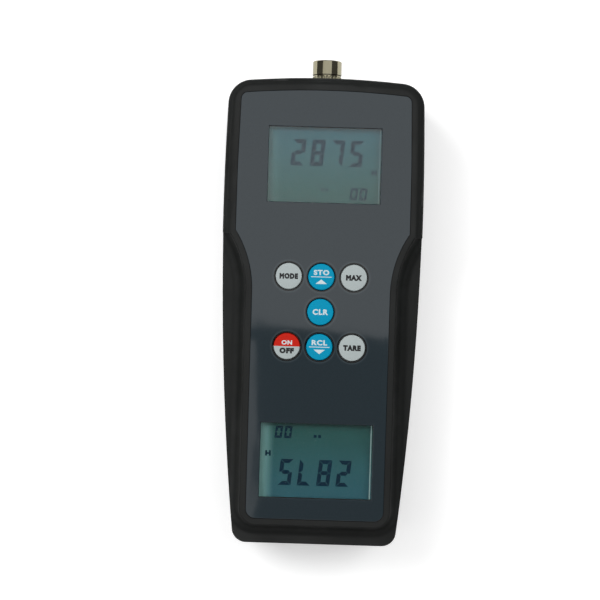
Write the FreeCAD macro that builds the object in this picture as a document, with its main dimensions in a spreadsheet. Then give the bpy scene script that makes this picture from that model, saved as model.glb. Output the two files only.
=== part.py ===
import FreeCAD, Part
import math
import os
import re
import Sketcher
from FreeCAD import Vector

# Handheld force gauge, lying on its back. Millimetres.
# +X is right as the user reads it, +Y points to the load-cell socket, +Z out of the front face.
# The origin is the middle of the flat back face.

doc = FreeCAD.newDocument("force_gauge")

# Driving dimensions. Each is a plain number in the sheet, under its own name.
SIZES = {
    # case outline: barrel sides, arched top end, straight bottom end
    "case_length": 189.0, "case_width": 81.0, "case_depth": 38.0, "front_depth": 19.0,
    "side_radius": 1200.0, "widest_from_top": 55.0, "top_radius": 350.0,
    "top_corner": 10.0, "bottom_corner": 6.0, "wall": 2.2, "face_wall": 2.4, "back_wall": 2.4,
    "side_draft": 1.5, "front_round": 4.0, "back_round": 3.0,
    # grip scoop: the plateau that it leaves, and its own section
    "plateau_half": 30.3, "waist_radius": 42.0, "waist_start": 8.2, "plateau_corner": 6.5,
    "bottom_ledge": 9.1, "scoop_end": 31.3, "scoop_lip": 0.8, "scoop_lip_drop": 0.78,
    "scoop_wall": 1.6, "scoop_hollow": 7.0, "scoop_fall": 8.0, "scoop_reach": 16.0,
    "scoop_sweep": 66.0, "cutter_rise": 1.0,
    # lip and groove round the joint of the two covers
    "lip_width": 1.0, "lip_height": 1.4, "lip_gap": 0.1,
    # film on the face
    "overlay_recess": 0.6, "overlay_thick": 0.35, "overlay_gap": 0.15, "overlay_rim": 2.7,
    "overlay_side": 5.7, "overlay_corner": 2.6,
    # the two display windows and what lies behind them
    "window_from_end": 35.3, "window_width": 45.0, "window_height": 30.0, "lens_margin": 1.4,
    "lens_thick": 1.2, "fit_gap": 0.1, "glass_width": 50.0, "glass_height": 36.0,
    "glass_thick": 2.8, "glass_drop": 0.3, "light_width": 49.4, "light_height": 29.0,
    "light_thick": 2.2, "strip_length": 46.0, "strip_width": 1.8, "strip_gap": 0.3,
    "frame_wall": 1.4, "frame_gap": 0.2, "frame_floor": 0.8, "frame_drop": 0.5,
    # keys
    "key_diameter": 10.4, "key_hole_gap": 0.35, "key_flange": 12.3, "key_flange_thick": 1.0,
    "key_proud": 0.7, "key_edge": 0.4, "key_stem": 3.6, "key_pitch_across": 13.0,
    "key_pitch_along": 14.0, "key_row_middle": 0.6, "key_travel": 0.5,
    "switch_size": 6.0, "switch_height": 3.4, "plunger_diameter": 3.3, "plunger_sunk": 0.8,
    "plunger_out": 1.2, "running_gap": 0.05,
    # circuit board, as far below the inside of the face as board_drop
    "board_drop": 7.6, "board_thick": 1.6, "board_gap": 1.0, "board_wide_in": 7.5,
    "board_from_bottom": 15.25, "board_from_top": 16.75, "board_step": 38.0,
    "board_step_rise": 8.0, "board_screw_in": 3.6, "board_screw_off_frame": 9.1,
    "board_boss": 5.2, "board_screw": 2.4, "board_screw_head": 4.4,
    "board_screw_head_thick": 1.5, "board_screw_length": 7.5,
    # case screws
    "screw_in": 8.0, "screw_from_top": 11.75, "screw_off_rail": 4.75, "screw_from_bottom": 33.25,
    "screw": 3.0, "screw_clear": 3.4, "screw_head": 5.6, "screw_head_thick": 2.2,
    "screw_bore": 6.2, "screw_bore_depth": 8.0, "screw_bite": 4.5, "boss": 8.0,
    "pilot_gap": 0.05, "pilot_room": 0.3,
    # load-cell socket
    "socket_diameter": 12.0, "socket_out": 8.4, "socket_bore": 9.6, "socket_bore_depth": 5.2,
    "socket_neck": 10.6, "socket_neck_length": 6.0, "spot_depth": 0.15, "spot_gap": 0.3,
    "insulator_length": 9.0, "contact_diameter": 1.5, "contact_circle": 4.8,
    "contact_tail": 2.5, "nut_across": 13.0, "nut_thick": 2.6, "washer_diameter": 15.0,
    "washer_thick": 0.6, "wire_diameter": 1.0, "wire_bend": 3.0, "wire_reach": 9.5,
    "wire_step": 2.5,
    "socket_edge": 0.5, "flat_gap": 0.2,
    # battery bay and its sliding door
    "cell_diameter": 10.5, "cell_length": 44.5, "cell_nub": 3.8, "cell_nub_length": 0.8,
    "cell_pitch": 10.8, "bay_length": 52.0, "bay_from_bottom": 13.25, "bay_side_gap": 0.7,
    "bay_clear": 0.3, "bay_wall": 1.6, "door_thick": 2.2, "door_half": 23.2, "door_flange": 1.4,
    "door_flange_thick": 1.1, "door_gap": 0.15, "door_above_bay": 2.6, "rail_wall": 2.0,
    "rail_roof": 1.4, "plate_thick": 0.5, "plate_width": 7.0, "plate_height": 8.0,
    "ridge_from_end": 9.0, "ridge_width": 1.2, "ridge_depth": 0.5, "ridge_pitch": 2.6,
    "ridge_count": 5, "leaf_free": 2.0,
}

# Chips under the board: place across and along, width, length and thickness.
# The amplifier, next to the socket's wires, is placed along from the middle of the upper window.
CHIPS = {
    "processor": (0.0, -4.0, 12.0, 12.0, 1.4), "amplifier": (0.0, -1.2, 9.0, 6.0, 1.8),
    "converter": (14.0, 40.0, 6.0, 8.0, 1.8), "regulator": (-15.0, -42.0, 7.0, 9.0, 2.2),
    "memory": (15.0, -20.0, 5.0, 6.0, 1.6),
}
for chip, numbers in CHIPS.items():
    for what, number in zip(("across", "along", "wide", "long", "thick"), numbers):
        SIZES[f"{chip}_{what}"] = number

sheet = doc.addObject("Spreadsheet::Sheet", "sizes")
for line, (alias, number) in enumerate(SIZES.items(), start=1):
    sheet.set(f"A{line}", alias)
    sheet.set(f"B{line}", str(number))
    sheet.setAlias(f"B{line}", alias)
doc.recompute()

WORD = re.compile(r"\b(" + "|".join(sorted(SIZES, key=len, reverse=True)) + r")\b")


def bound(text):
    """The expression text with every size name pointing into the sheet."""
    return WORD.sub(r"sizes.\1", text)


def value(text):
    """What an expression of size names comes to now."""
    return float(sheet.evalExpression(text))


# Places that several pieces share, as expressions of the sizes.
TOP_END = "case_length / 2"
BOTTOM_END = "(-case_length / 2)"
WIDEST = "(case_length / 2 - widest_from_top)"
SIDE_CENTRE = "(side_radius - case_width / 2)"
PARTING = "(case_depth - front_depth)"
FACE = "(case_depth - overlay_recess)"
CEILING = "(case_depth - overlay_recess - face_wall)"
SCOOP_FLOOR = ("(case_depth - scoop_lip_drop - scoop_wall - scoop_hollow"
               " - scoop_reach * tan(scoop_fall) / 2)")
LOW_CEILING = "(" + SCOOP_FLOOR + " - wall)"
BOARD_TOP = "(" + CEILING + " - board_drop)"
BOARD_BOTTOM = "(" + BOARD_TOP + " - board_thick)"
BOARD_HALF = "(plateau_half - wall - board_gap)"
GLASS_TOP = "(" + CEILING + " - glass_drop)"
GLASS_BOTTOM = "(" + GLASS_TOP + " - glass_thick)"
WINDOW_Y = "(case_length / 2 - window_from_end)"
BAY_LOW = "(" + BOTTOM_END + " + bay_from_bottom)"
BAY_TOP = "(" + BAY_LOW + " + bay_length)"
FLANGE_HALF = "(door_half + door_flange)"


# Drawing helpers.

def new_body(label):
    body = doc.addObject("PartDesign::Body", label)
    body.Label = label
    return body


def own_plane(body, role):
    return next(o for o in body.Origin.OriginFeatures if o.Role == role), [""]


def new_sketch(body, name, role="XY_Plane", height="0"):
    """An empty sketch on one of the body's own planes, lifted along its normal."""
    sketch = body.newObject("Sketcher::SketchObject", name)
    sketch.AttachmentSupport = own_plane(body, role)
    sketch.MapMode = "FlatFace"
    sketch.setExpression("AttachmentOffset.Base.z", bound(height))
    return sketch


def fix(sketch, kind, where, text):
    """A driving dimension of the sketch, bound to the sheet."""
    number = value(text)
    index = sketch.addConstraint(Sketcher.Constraint(kind, *where, number))
    sketch.setExpression(f"Constraints[{index}]", bound(text))


def fix_point(sketch, piece, end, x_text, y_text):
    for kind, text in (("DistanceX", x_text), ("DistanceY", y_text)):
        if abs(value(text)) < 1e-9:
            line = -2 if kind == "DistanceX" else -1
            sketch.addConstraint(Sketcher.Constraint("PointOnObject", piece, end, line))
        else:
            fix(sketch, kind, (-1, 1, piece, end), text)


def polygon(sketch, corners):
    """A closed outline of straight lines through corners given as expressions."""
    points = [Vector(value(x), value(y), 0) for x, y in corners]
    first = sketch.GeometryCount
    for k, point in enumerate(points):
        sketch.addGeometry(Part.LineSegment(point, points[(k + 1) % len(points)]), False)
    for k in range(len(points)):
        follower = first + (k + 1) % len(points)
        sketch.addConstraint(Sketcher.Constraint("Coincident", first + k, 2, follower, 1))
    for k, (x, y) in enumerate(corners):
        fix_point(sketch, first + k, 1, x, y)


def rectangle(sketch, x, y, width, height):
    west, east = f"({x}) - ({width}) / 2", f"({x}) + ({width}) / 2"
    south, north = f"({y}) - ({height}) / 2", f"({y}) + ({height}) / 2"
    polygon(sketch, [(west, south), (east, south), (east, north), (west, north)])


def hexagon(sketch, x, y, across):
    """A hexagon round a middle point, across as wide between its left and right flats."""
    flat, point = f"({across}) / 2", f"({across}) / 2 / cos(30)"
    west, east = f"({x}) - {flat}", f"({x}) + {flat}"
    south, north = f"({y}) - {point} / 2", f"({y}) + {point} / 2"
    polygon(sketch, [(east, south), (east, north), (x, f"({y}) + {point}"),
                     (west, north), (west, south), (x, f"({y}) - {point}")])


def circle(sketch, x, y, radius):
    index = sketch.addGeometry(Part.Circle(Vector(value(x), value(y), 0),
                                           Vector(0, 0, 1), value(radius)), False)
    fix_point(sketch, index, 3, x, y)
    fix(sketch, "Radius", (index,), radius)


def add_arc(sketch, centre, radius, start, stop):
    """An arc from start to stop, both angles in degrees, drawn anticlockwise."""
    round_curve = Part.Circle(Vector(*centre, 0), Vector(0, 0, 1), radius)
    arc = Part.ArcOfCircle(round_curve, math.radians(start), math.radians(stop))
    return sketch.addGeometry(arc, False)


def join(sketch, kind, piece, end, other, other_end):
    sketch.addConstraint(Sketcher.Constraint(kind, piece, end, other, other_end))


def angle_of(centre, point):
    return math.degrees(math.atan2(point[1] - centre[1], point[0] - centre[0]))


# Where the sketches of the outlines start their corner centres: about as far below the top as
# the arch falls on its way to the corner. The constraints then place them exactly.
ARCH_FALL = 1.75


def case_outline(sketch, inset):
    """The barrel outline of the case, set in by one distance all round."""
    def size(text):
        return value(f"{text} - ({inset})")

    half, side = value("case_width / 2") - value(inset), value(SIDE_CENTRE)
    top, bottom, middle = size(TOP_END), -size(TOP_END), value(WIDEST)
    top_radius, side_radius = size("top_radius"), size("side_radius")
    top_corner, bottom_corner = size("top_corner"), size("bottom_corner")
    low_half = half - (middle - bottom) ** 2 / (2 * side_radius)
    pieces = {}
    arch = (0.0, top - top_radius)
    span = math.degrees(math.asin((half - top_corner) / top_radius))
    pieces["top"] = add_arc(sketch, arch, top_radius, 90 - span, 90 + span)
    for sign, name, start in ((1, "right", 0), (-1, "left", 90)):
        corner = (sign * (half - top_corner), top - top_corner - ARCH_FALL)
        pieces[name + "_corner"] = add_arc(sketch, corner, top_corner, start, start + 90)
        hub = (-sign * side, middle)
        upper = angle_of(hub, (sign * half, top - top_corner))
        lower = angle_of(hub, (sign * low_half, bottom + bottom_corner))
        ends = (lower, upper) if sign > 0 else (upper, lower + 360)
        pieces[name] = add_arc(sketch, hub, side_radius, ends[0] % 360, ends[1] % 360 + (
            360 if ends[1] % 360 < ends[0] % 360 else 0))
        foot = (sign * (low_half - bottom_corner), bottom + bottom_corner)
        first = 270 if sign > 0 else 180
        pieces[name + "_foot"] = add_arc(sketch, foot, bottom_corner, first, first + 90)
    west = Vector(-(low_half - bottom_corner), bottom, 0)
    east = Vector(low_half - bottom_corner, bottom, 0)
    pieces["base"] = sketch.addGeometry(Part.LineSegment(west, east), False)
    # anticlockwise: each arc runs from its point 1 to its point 2
    order = ["base", "right_foot", "right", "right_corner", "top",
             "left_corner", "left", "left_foot"]
    for here, after in zip(order, order[1:] + order[:1]):
        join(sketch, "Tangent", pieces[here], 2, pieces[after], 1)
    sketch.addConstraint(Sketcher.Constraint("Horizontal", pieces["base"]))
    fix_point(sketch, pieces["top"], 3, "0", f"{TOP_END} - top_radius")
    fix_point(sketch, pieces["right"], 3, f"-{SIDE_CENTRE}", WIDEST)
    fix_point(sketch, pieces["left"], 3, SIDE_CENTRE, WIDEST)
    fix(sketch, "DistanceY", (-1, 1, pieces["base"], 1), f"{BOTTOM_END} + ({inset})")
    fix(sketch, "Radius", (pieces["top"],), f"top_radius - ({inset})")
    for name in ("right", "left"):
        fix(sketch, "Radius", (pieces[name],), f"side_radius - ({inset})")
        fix(sketch, "Radius", (pieces[name + "_corner"],), f"top_corner - ({inset})")
        fix(sketch, "Radius", (pieces[name + "_foot"],), f"bottom_corner - ({inset})")


def waist_points(rim, side):
    """Where the waist arc of a plateau outline meets its side arc, as numbers."""
    hub_x, radius = value("plateau_half + waist_radius"), value(f"waist_radius + ({rim})")
    side_hub, side_radius = -value(SIDE_CENTRE), value(f"side_radius - ({side})")
    low, middle = value("waist_start"), value(WIDEST)
    height = low
    for _ in range(60):
        x = side_hub + math.sqrt(side_radius ** 2 - (height - middle) ** 2)
        height = low + math.sqrt(max(radius ** 2 - (hub_x - x) ** 2, 0.0))
    return x, height


def plateau_outline(sketch, rim, side, corner):
    """The face outline: wide above, waisted below; rim is in from the scoop, side from the case."""
    top_radius, side_radius = value(f"top_radius - ({side})"), value(f"side_radius - ({side})")
    half, top = value(f"case_width / 2 - ({side})"), value(f"{TOP_END} - ({side})")
    middle, round_corner = value(WIDEST), value(corner)
    low_half, base = value(f"plateau_half - ({rim})"), value(f"{BOTTOM_END} + bottom_ledge + ({rim})")
    foot_radius, low = value(f"plateau_corner - ({rim})"), value("waist_start")
    waist_x, waist_y = waist_points(rim, side)
    waist_radius = value(f"waist_radius + ({rim})")
    pieces = {}
    span = math.degrees(math.asin((half - round_corner) / top_radius))
    arch = (0.0, top - top_radius)
    pieces["top"] = add_arc(sketch, arch, top_radius, 90 - span, 90 + span)
    for sign, name in ((1, "right"), (-1, "left")):
        centre = (sign * (half - round_corner), top - round_corner - ARCH_FALL)
        start = 0 if sign > 0 else 90
        pieces[name + "_corner"] = add_arc(sketch, centre, round_corner, start, start + 90)
        hub = (-sign * value(SIDE_CENTRE), middle)
        upper = angle_of(hub, (sign * half, top - round_corner)) % 360
        lower = angle_of(hub, (sign * waist_x, waist_y)) % 360
        first, last = (lower, upper) if sign > 0 else (upper, lower)
        pieces[name] = add_arc(sketch, hub, side_radius, first, last + (360 if last < first else 0))
        waist = (sign * value("plateau_half + waist_radius"), low)
        reach = angle_of(waist, (sign * waist_x, waist_y)) % 360
        ends = (reach, 180.0) if sign > 0 else (0.0, reach)
        pieces[name + "_waist"] = add_arc(sketch, waist, waist_radius, *ends)
        line = [Vector(sign * low_half, low, 0), Vector(sign * low_half, base + foot_radius, 0)]
        if sign > 0:
            line.reverse()
        pieces[name + "_line"] = sketch.addGeometry(Part.LineSegment(*line), False)
        foot = (sign * (low_half - foot_radius), base + foot_radius)
        start = 270 if sign > 0 else 180
        pieces[name + "_foot"] = add_arc(sketch, foot, foot_radius, start, start + 90)
    west, east = Vector(foot_radius - low_half, base, 0), Vector(low_half - foot_radius, base, 0)
    pieces["base"] = sketch.addGeometry(Part.LineSegment(west, east), False)
    link = [("base", 2, "right_foot", 1, "Tangent"), ("right_foot", 2, "right_line", 1, "Tangent"),
            ("right_line", 2, "right_waist", 2, "Tangent"),
            ("right_waist", 1, "right", 1, "Coincident"),
            ("right", 2, "right_corner", 1, "Tangent"), ("right_corner", 2, "top", 1, "Tangent"),
            ("top", 2, "left_corner", 1, "Tangent"), ("left_corner", 2, "left", 1, "Tangent"),
            ("left", 2, "left_waist", 2, "Coincident"),
            ("left_waist", 1, "left_line", 1, "Tangent"),
            ("left_line", 2, "left_foot", 1, "Tangent"), ("left_foot", 2, "base", 1, "Tangent")]
    for here, end, after, other_end, kind in link:
        join(sketch, kind, pieces[here], end, pieces[after], other_end)
    sketch.addConstraint(Sketcher.Constraint("Horizontal", pieces["base"]))
    fix_point(sketch, pieces["top"], 3, "0", f"{TOP_END} - top_radius")
    fix(sketch, "Radius", (pieces["top"],), f"top_radius - ({side})")
    fix(sketch, "DistanceY", (-1, 1, pieces["base"], 1), f"{BOTTOM_END} + bottom_ledge + ({rim})")
    for name, sign in (("right", ""), ("left", "-")):
        other = "-" if not sign else ""
        fix_point(sketch, pieces[name], 3, f"{other}{SIDE_CENTRE}", WIDEST)
        fix(sketch, "Radius", (pieces[name],), f"side_radius - ({side})")
        fix(sketch, "Radius", (pieces[name + "_corner"],), corner)
        fix_point(sketch, pieces[name + "_waist"], 3, f"{sign}(plateau_half + waist_radius)", "waist_start")
        fix(sketch, "Radius", (pieces[name + "_waist"],), f"waist_radius + ({rim})")
        fix(sketch, "Radius", (pieces[name + "_foot"],), f"plateau_corner - ({rim})")


# Solid features. Each returns the feature, and checks that it changed the solid.

def bind(thing, **expressions):
    for name, text in expressions.items():
        thing.setExpression(name, bound(text))
    return thing


def pad(body, name, sketch, length, down=False, **more):
    feature = bind(body.newObject("PartDesign::Pad", name), Length=length, **more)
    feature.Profile = sketch
    feature.Reversed = down
    return feature


def pocket(body, name, sketch, length, up=False):
    doc.recompute()
    before = body.Shape
    feature = bind(body.newObject("PartDesign::Pocket", name), Length=length)
    feature.Profile = sketch
    feature.Reversed = up
    doc.recompute()
    if body.Shape.Volume >= before.Volume and len(body.Shape.Faces) == len(before.Faces):
        raise ValueError(f"{name} in {body.Label} cuts nothing")
    return feature


def revolve(body, name, sketch):
    feature = body.newObject("PartDesign::Revolution", name)
    feature.Profile = sketch
    feature.ReferenceAxis = (sketch, ["V_Axis"])
    feature.Angle = 360
    return feature


def round_edges(body, name, base, chosen, radius):
    """Fillet the edges of the base feature for which chosen(edge) is true."""
    doc.recompute()
    names = [f"Edge{k}" for k, edge in enumerate(base.Shape.Edges, start=1) if chosen(edge)]
    feature = bind(body.newObject("PartDesign::Fillet", name), Radius=radius)
    feature.Base = (base, names)
    return feature


def bevel_edges(body, name, base, chosen, size):
    """Chamfer the edges of the base feature for which chosen(edge) is true."""
    doc.recompute()
    names = [f"Edge{k}" for k, edge in enumerate(base.Shape.Edges, start=1) if chosen(edge)]
    feature = bind(body.newObject("PartDesign::Chamfer", name), Size=size)
    feature.Base = (base, names)
    return feature


def lies_at(height):
    """A test for edges that lie wholly in one level plane."""
    level = value(height)

    def test(edge):
        box = edge.BoundBox
        return abs(box.ZMin - level) < 1e-4 and abs(box.ZMax - level) < 1e-4
    return test


def boolean(body, name, kind, tool):
    feature = body.newObject("PartDesign::Boolean", name)
    feature.Type = kind
    feature.setObjects([tool])
    return feature


def slab(label, x, y, width, height, bottom, thick):
    """A plain rectangular plate, lying level."""
    body = new_body(label)
    sketch = new_sketch(body, label + "_outline", height=bottom)
    rectangle(sketch, x, y, width, height)
    pad(body, label + "_plate", sketch, thick)
    return body


def case_form(body, down, rounding):
    """One half of the case as a full block: drafted from the joint, with a rounded rim."""
    name = body.Label
    sketch = new_sketch(body, name + "_outline", height=PARTING)
    case_outline(sketch, "0")
    length = PARTING if down else "front_depth"
    block = pad(body, name + "_block", sketch, length, down, TaperAngle="-side_draft")
    rim = "0" if down else "case_depth"
    return round_edges(body, name + "_rounding", block, lies_at(rim), rounding)


def cavity(body, name, level, length, up):
    sketch = new_sketch(body, name + "_outline", height=level)
    case_outline(sketch, "wall")
    return pocket(body, name, sketch, length, up)


def socket_hole(body, name, radius, depth):
    """A round hole on the socket's axis, from a depth inside the top end outwards."""
    sketch = new_sketch(body, name + "_circle", "XZ_Plane", f"-(case_length / 2 - {depth})")
    circle(sketch, "0", PARTING, radius)
    pocket(body, name, sketch, f"2 * {depth}")


def socket_passage(body):
    """The hole for the socket's neck and the flat seat for its shoulder."""
    socket_hole(body, body.Label + "_neck_hole", "socket_neck / 2 + running_gap", "(2 * wall)")
    socket_hole(body, body.Label + "_spot_face", "socket_diameter / 2 + spot_gap", "spot_depth")


# The four places of the case screws and of the board screws: the upper case screws stand in
# from the sides, the lower ones beside the door's rails, and the board's ones clear of the frames.


def both_sides(x, y):
    return [(x, y), ("-" + x, y)]


FRAME_END = f"({WINDOW_Y} - glass_height / 2 - frame_gap - frame_wall)"
BOARD_SCREW_X = f"({BOARD_HALF} - board_screw_in)"
BOARD_SCREW_Y = f"({FRAME_END} - board_screw_off_frame)"
CASE_SCREWS = [*both_sides("(case_width / 2 - screw_in)", f"({TOP_END} - screw_from_top)"),
               *both_sides(f"({FLANGE_HALF} + door_gap + screw_off_rail)",
                           f"({BOTTOM_END} + screw_from_bottom)")]
BOARD_SCREWS = [*both_sides(BOARD_SCREW_X, BOARD_SCREW_Y),
                *both_sides(BOARD_SCREW_X, "-" + BOARD_SCREW_Y)]
# The seven keys: three across, one in the middle, three across.
KEYS = {"unit": ("-key_pitch_across", "key_row_middle + key_pitch_along"),
        "save": ("0", "key_row_middle + key_pitch_along"),
        "peak": ("key_pitch_across", "key_row_middle + key_pitch_along"),
        "delete": ("0", "key_row_middle"),
        "power": ("-key_pitch_across", "key_row_middle - key_pitch_along"),
        "read": ("0", "key_row_middle - key_pitch_along"),
        "tare": ("key_pitch_across", "key_row_middle - key_pitch_along")}
WINDOWS = {"upper": WINDOW_Y, "lower": "-" + WINDOW_Y}


def circles(body, name, places, radius, height):
    sketch = new_sketch(body, name, height=height)
    for x, y in places:
        circle(sketch, x, y, radius)
    return sketch


# Scoop cutter: a section with a rounded lip, a short wall, a hollow and a falling floor,
# swept round the foot, the side and the waist of the plateau, and cut off square at the shoulder.

LEDGE = f"({BOTTOM_END} + bottom_ledge)"
LIP_FOOT = "(case_depth - scoop_lip_drop)"
HOLLOW_TOP = "(case_depth - scoop_lip_drop - scoop_wall)"


def scoop_section(body):
    sketch = new_sketch(body, "scoop_section", "YZ_Plane")
    edge, above = value(LEDGE), value("case_depth + cutter_rise")
    lip, hollow, fall = value("scoop_lip"), value("scoop_hollow"), value("scoop_fall")
    lip_foot, hollow_top, reach = value(LIP_FOOT), value(HOLLOW_TOP), value("scoop_reach")
    lip_start = math.degrees(math.acos(value("scoop_lip_drop") / lip))
    upper = add_arc(sketch, (edge + lip, lip_foot), lip, 90 + lip_start, 180)
    wall = sketch.addGeometry(Part.LineSegment(Vector(edge, lip_foot, 0),
                                               Vector(edge, hollow_top, 0)), False)
    bowl = add_arc(sketch, (edge - hollow, hollow_top), hollow, 270 + fall, 360)
    low = Vector(edge - hollow + hollow * math.sin(math.radians(fall)),
                 hollow_top - hollow * math.cos(math.radians(fall)), 0)
    far = edge - reach
    drop = Vector(far, low.y - (low.x - far) * math.tan(math.radians(fall)), 0)
    start = sketch.Geometry[upper].StartPoint
    corners = [low, drop, Vector(far, above, 0), Vector(start.x, above, 0), start]
    lines = [sketch.addGeometry(Part.LineSegment(a, b), False)
             for a, b in zip(corners, corners[1:])]
    join(sketch, "Tangent", upper, 2, wall, 1)
    join(sketch, "Tangent", wall, 2, bowl, 2)
    join(sketch, "Tangent", bowl, 1, lines[0], 1)
    for here, after in zip(lines, lines[1:]):
        join(sketch, "Coincident", here, 2, after, 1)
    join(sketch, "Coincident", lines[-1], 2, upper, 1)
    for piece, kind in ((wall, "Vertical"), (lines[1], "Vertical"), (lines[2], "Horizontal"),
                        (lines[3], "Vertical")):
        sketch.addConstraint(Sketcher.Constraint(kind, piece))
    fix_point(sketch, wall, 1, LEDGE, LIP_FOOT)
    fix(sketch, "DistanceY", (-1, 1, wall, 2), HOLLOW_TOP)
    fix(sketch, "Radius", (upper,), "scoop_lip")
    fix(sketch, "Radius", (bowl,), "scoop_hollow")
    fix(sketch, "DistanceY", (-1, 1, upper, 1), "case_depth")
    fix(sketch, "DistanceX", (-1, 1, lines[1], 1), f"{LEDGE} - scoop_reach")
    fix(sketch, "DistanceX", (lines[0], 2, bowl, 1),
        "scoop_reach - scoop_hollow * (1 - sin(scoop_fall))")
    fix(sketch, "DistanceY", (-1, 1, lines[2], 1), "case_depth + cutter_rise")
    return sketch


def scoop_path(body):
    sketch = new_sketch(body, "scoop_path", height="case_depth")
    half, corner, edge = value("plateau_half"), value("plateau_corner"), value(LEDGE)
    waist, low, sweep = value("waist_radius"), value("waist_start"), value("scoop_sweep")
    base = sketch.addGeometry(Part.LineSegment(Vector(0, edge, 0),
                                               Vector(half - corner, edge, 0)), False)
    foot = add_arc(sketch, (half - corner, edge + corner), corner, 270, 360)
    side = sketch.addGeometry(Part.LineSegment(Vector(half, edge + corner, 0),
                                               Vector(half, low, 0)), False)
    bend = add_arc(sketch, (half + waist, low), waist, 180 - sweep, 180)
    join(sketch, "Tangent", base, 2, foot, 1)
    join(sketch, "Tangent", foot, 2, side, 1)
    join(sketch, "Tangent", side, 2, bend, 2)
    sketch.addConstraint(Sketcher.Constraint("Vertical", side))
    fix_point(sketch, base, 1, "0", LEDGE)
    fix(sketch, "Radius", (foot,), "plateau_corner")
    fix_point(sketch, bend, 3, "plateau_half + waist_radius", "waist_start")
    fix(sketch, "Radius", (bend,), "waist_radius")
    fix(sketch, "DistanceY", (-1, 1, bend, 1), "waist_start + waist_radius * sin(scoop_sweep)")
    return sketch


scoop = new_body("scoop_cutter")
section = scoop_section(scoop)
path = scoop_path(scoop)
sweep_half = scoop.newObject("PartDesign::AdditivePipe", "scoop_half")
sweep_half.Profile = section
sweep_half.Spine = (path, ["Edge1", "Edge2", "Edge3", "Edge4"])
whole_sweep = scoop.newObject("PartDesign::Mirrored", "scoop_whole")
whole_sweep.Originals = [sweep_half]
whole_sweep.MirrorPlane = own_plane(scoop, "YZ_Plane")
scoop.Tip = whole_sweep
trim = new_sketch(scoop, "shoulder_line", height="case_depth + 2 * cutter_rise")
polygon(trim, [("-case_width", "scoop_end"), ("case_width", "scoop_end"),
               ("case_width", "case_length / 2"), ("-case_width", "case_length / 2")])
pocket(scoop, "shoulder_cut", trim, "case_depth")


# Front cover: moulded shell with the scooped grip, the face recess, the window and key holes,
# the lip that enters the rear cover, and the bosses for the screws and the board.

front = new_body("front_cover")
case_form(front, False, "front_round")
socket_passage(front)
boolean(front, "grip_scoop", "Cut", scoop)
cavity(front, "front_low", PARTING, f"{LOW_CEILING} - {PARTING}", True)
upper_room = new_sketch(front, "front_high_outline", height=PARTING)
plateau_outline(upper_room, "wall", "wall", "top_corner - wall")
pocket(front, "front_high", upper_room, f"{CEILING} - {PARTING}", True)
tongue = new_sketch(front, "tongue_outline", height=PARTING)
case_outline(tongue, "wall - lip_width")
case_outline(tongue, "wall")
pad(front, "tongue", tongue, "lip_height", True)
socket_hole(front, "tongue_gap", "socket_neck / 2 + running_gap", "(2 * wall)")
recess = new_sketch(front, "overlay_recess_outline", height="case_depth")
plateau_outline(recess, "overlay_rim - overlay_gap", "overlay_side - overlay_gap",
                "overlay_corner + overlay_gap")
pocket(front, "overlay_recess_cut", recess, "overlay_recess")
seats = new_sketch(front, "lens_seats", height=FACE)
panes = new_sketch(front, "window_holes", height=FACE)
for y in WINDOWS.values():
    rectangle(seats, "0", y, "window_width + 2 * lens_margin + 2 * fit_gap",
              "window_height + 2 * lens_margin + 2 * fit_gap")
    rectangle(panes, "0", y, "window_width", "window_height")
pocket(front, "lens_seat_cut", seats, "lens_thick")
pocket(front, "window_cut", panes, "face_wall + overlay_recess")
key_holes = circles(front, "key_holes", KEYS.values(), "key_diameter / 2 + key_hole_gap", FACE)
pocket(front, "key_hole_cut", key_holes, "face_wall + overlay_recess")
high_posts = circles(front, "high_posts", CASE_SCREWS[:2], "boss / 2", PARTING)
pad(front, "high_post_pads", high_posts, f"{CEILING} - {PARTING} + face_wall / 2")
low_posts = circles(front, "low_posts", CASE_SCREWS[2:], "boss / 2", PARTING)
pad(front, "low_post_pads", low_posts, f"{LOW_CEILING} - {PARTING}")
board_posts = circles(front, "board_posts", BOARD_SCREWS, "board_boss / 2", BOARD_TOP)
pad(front, "board_post_pads", board_posts, "board_drop + face_wall / 2")
pilots = circles(front, "pilot_holes", CASE_SCREWS, "screw / 2 + pilot_gap", PARTING)
pocket(front, "pilot_cut", pilots, "screw_bite + pilot_room", True)
board_pilots = circles(front, "board_pilot_holes", BOARD_SCREWS,
                       "board_screw / 2 + pilot_gap", BOARD_TOP)
pocket(front, "board_pilot_cut", board_pilots, "board_screw_length - board_thick + pilot_room", True)


# Rear cover: the back shell, with the battery bay, the slot that the door slides in,
# the groove for the front cover's lip, and the screw tubes.

BAY_HALF = "(3 * cell_pitch / 2 + cell_diameter / 2 + bay_side_gap)"
BAY_MIDDLE = "(" + BAY_LOW + " + bay_length / 2)"
BAY_ROOF = "(door_thick + cell_diameter + 2 * bay_clear)"
DOOR_TOP = "(" + BAY_TOP + " + door_above_bay)"
DOOR_STEP = "(door_thick - door_flange_thick)"
RAIL_HALF = "(" + FLANGE_HALF + " + door_gap + rail_wall)"


def strip_outline(body, name, half, low, high, level):
    """A rectangle across the middle line, from low to high, at a level."""
    sketch = new_sketch(body, name, height=level)
    polygon(sketch, [(f"-{half}", low), (half, low), (half, high), (f"-{half}", high)])
    return sketch


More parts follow.
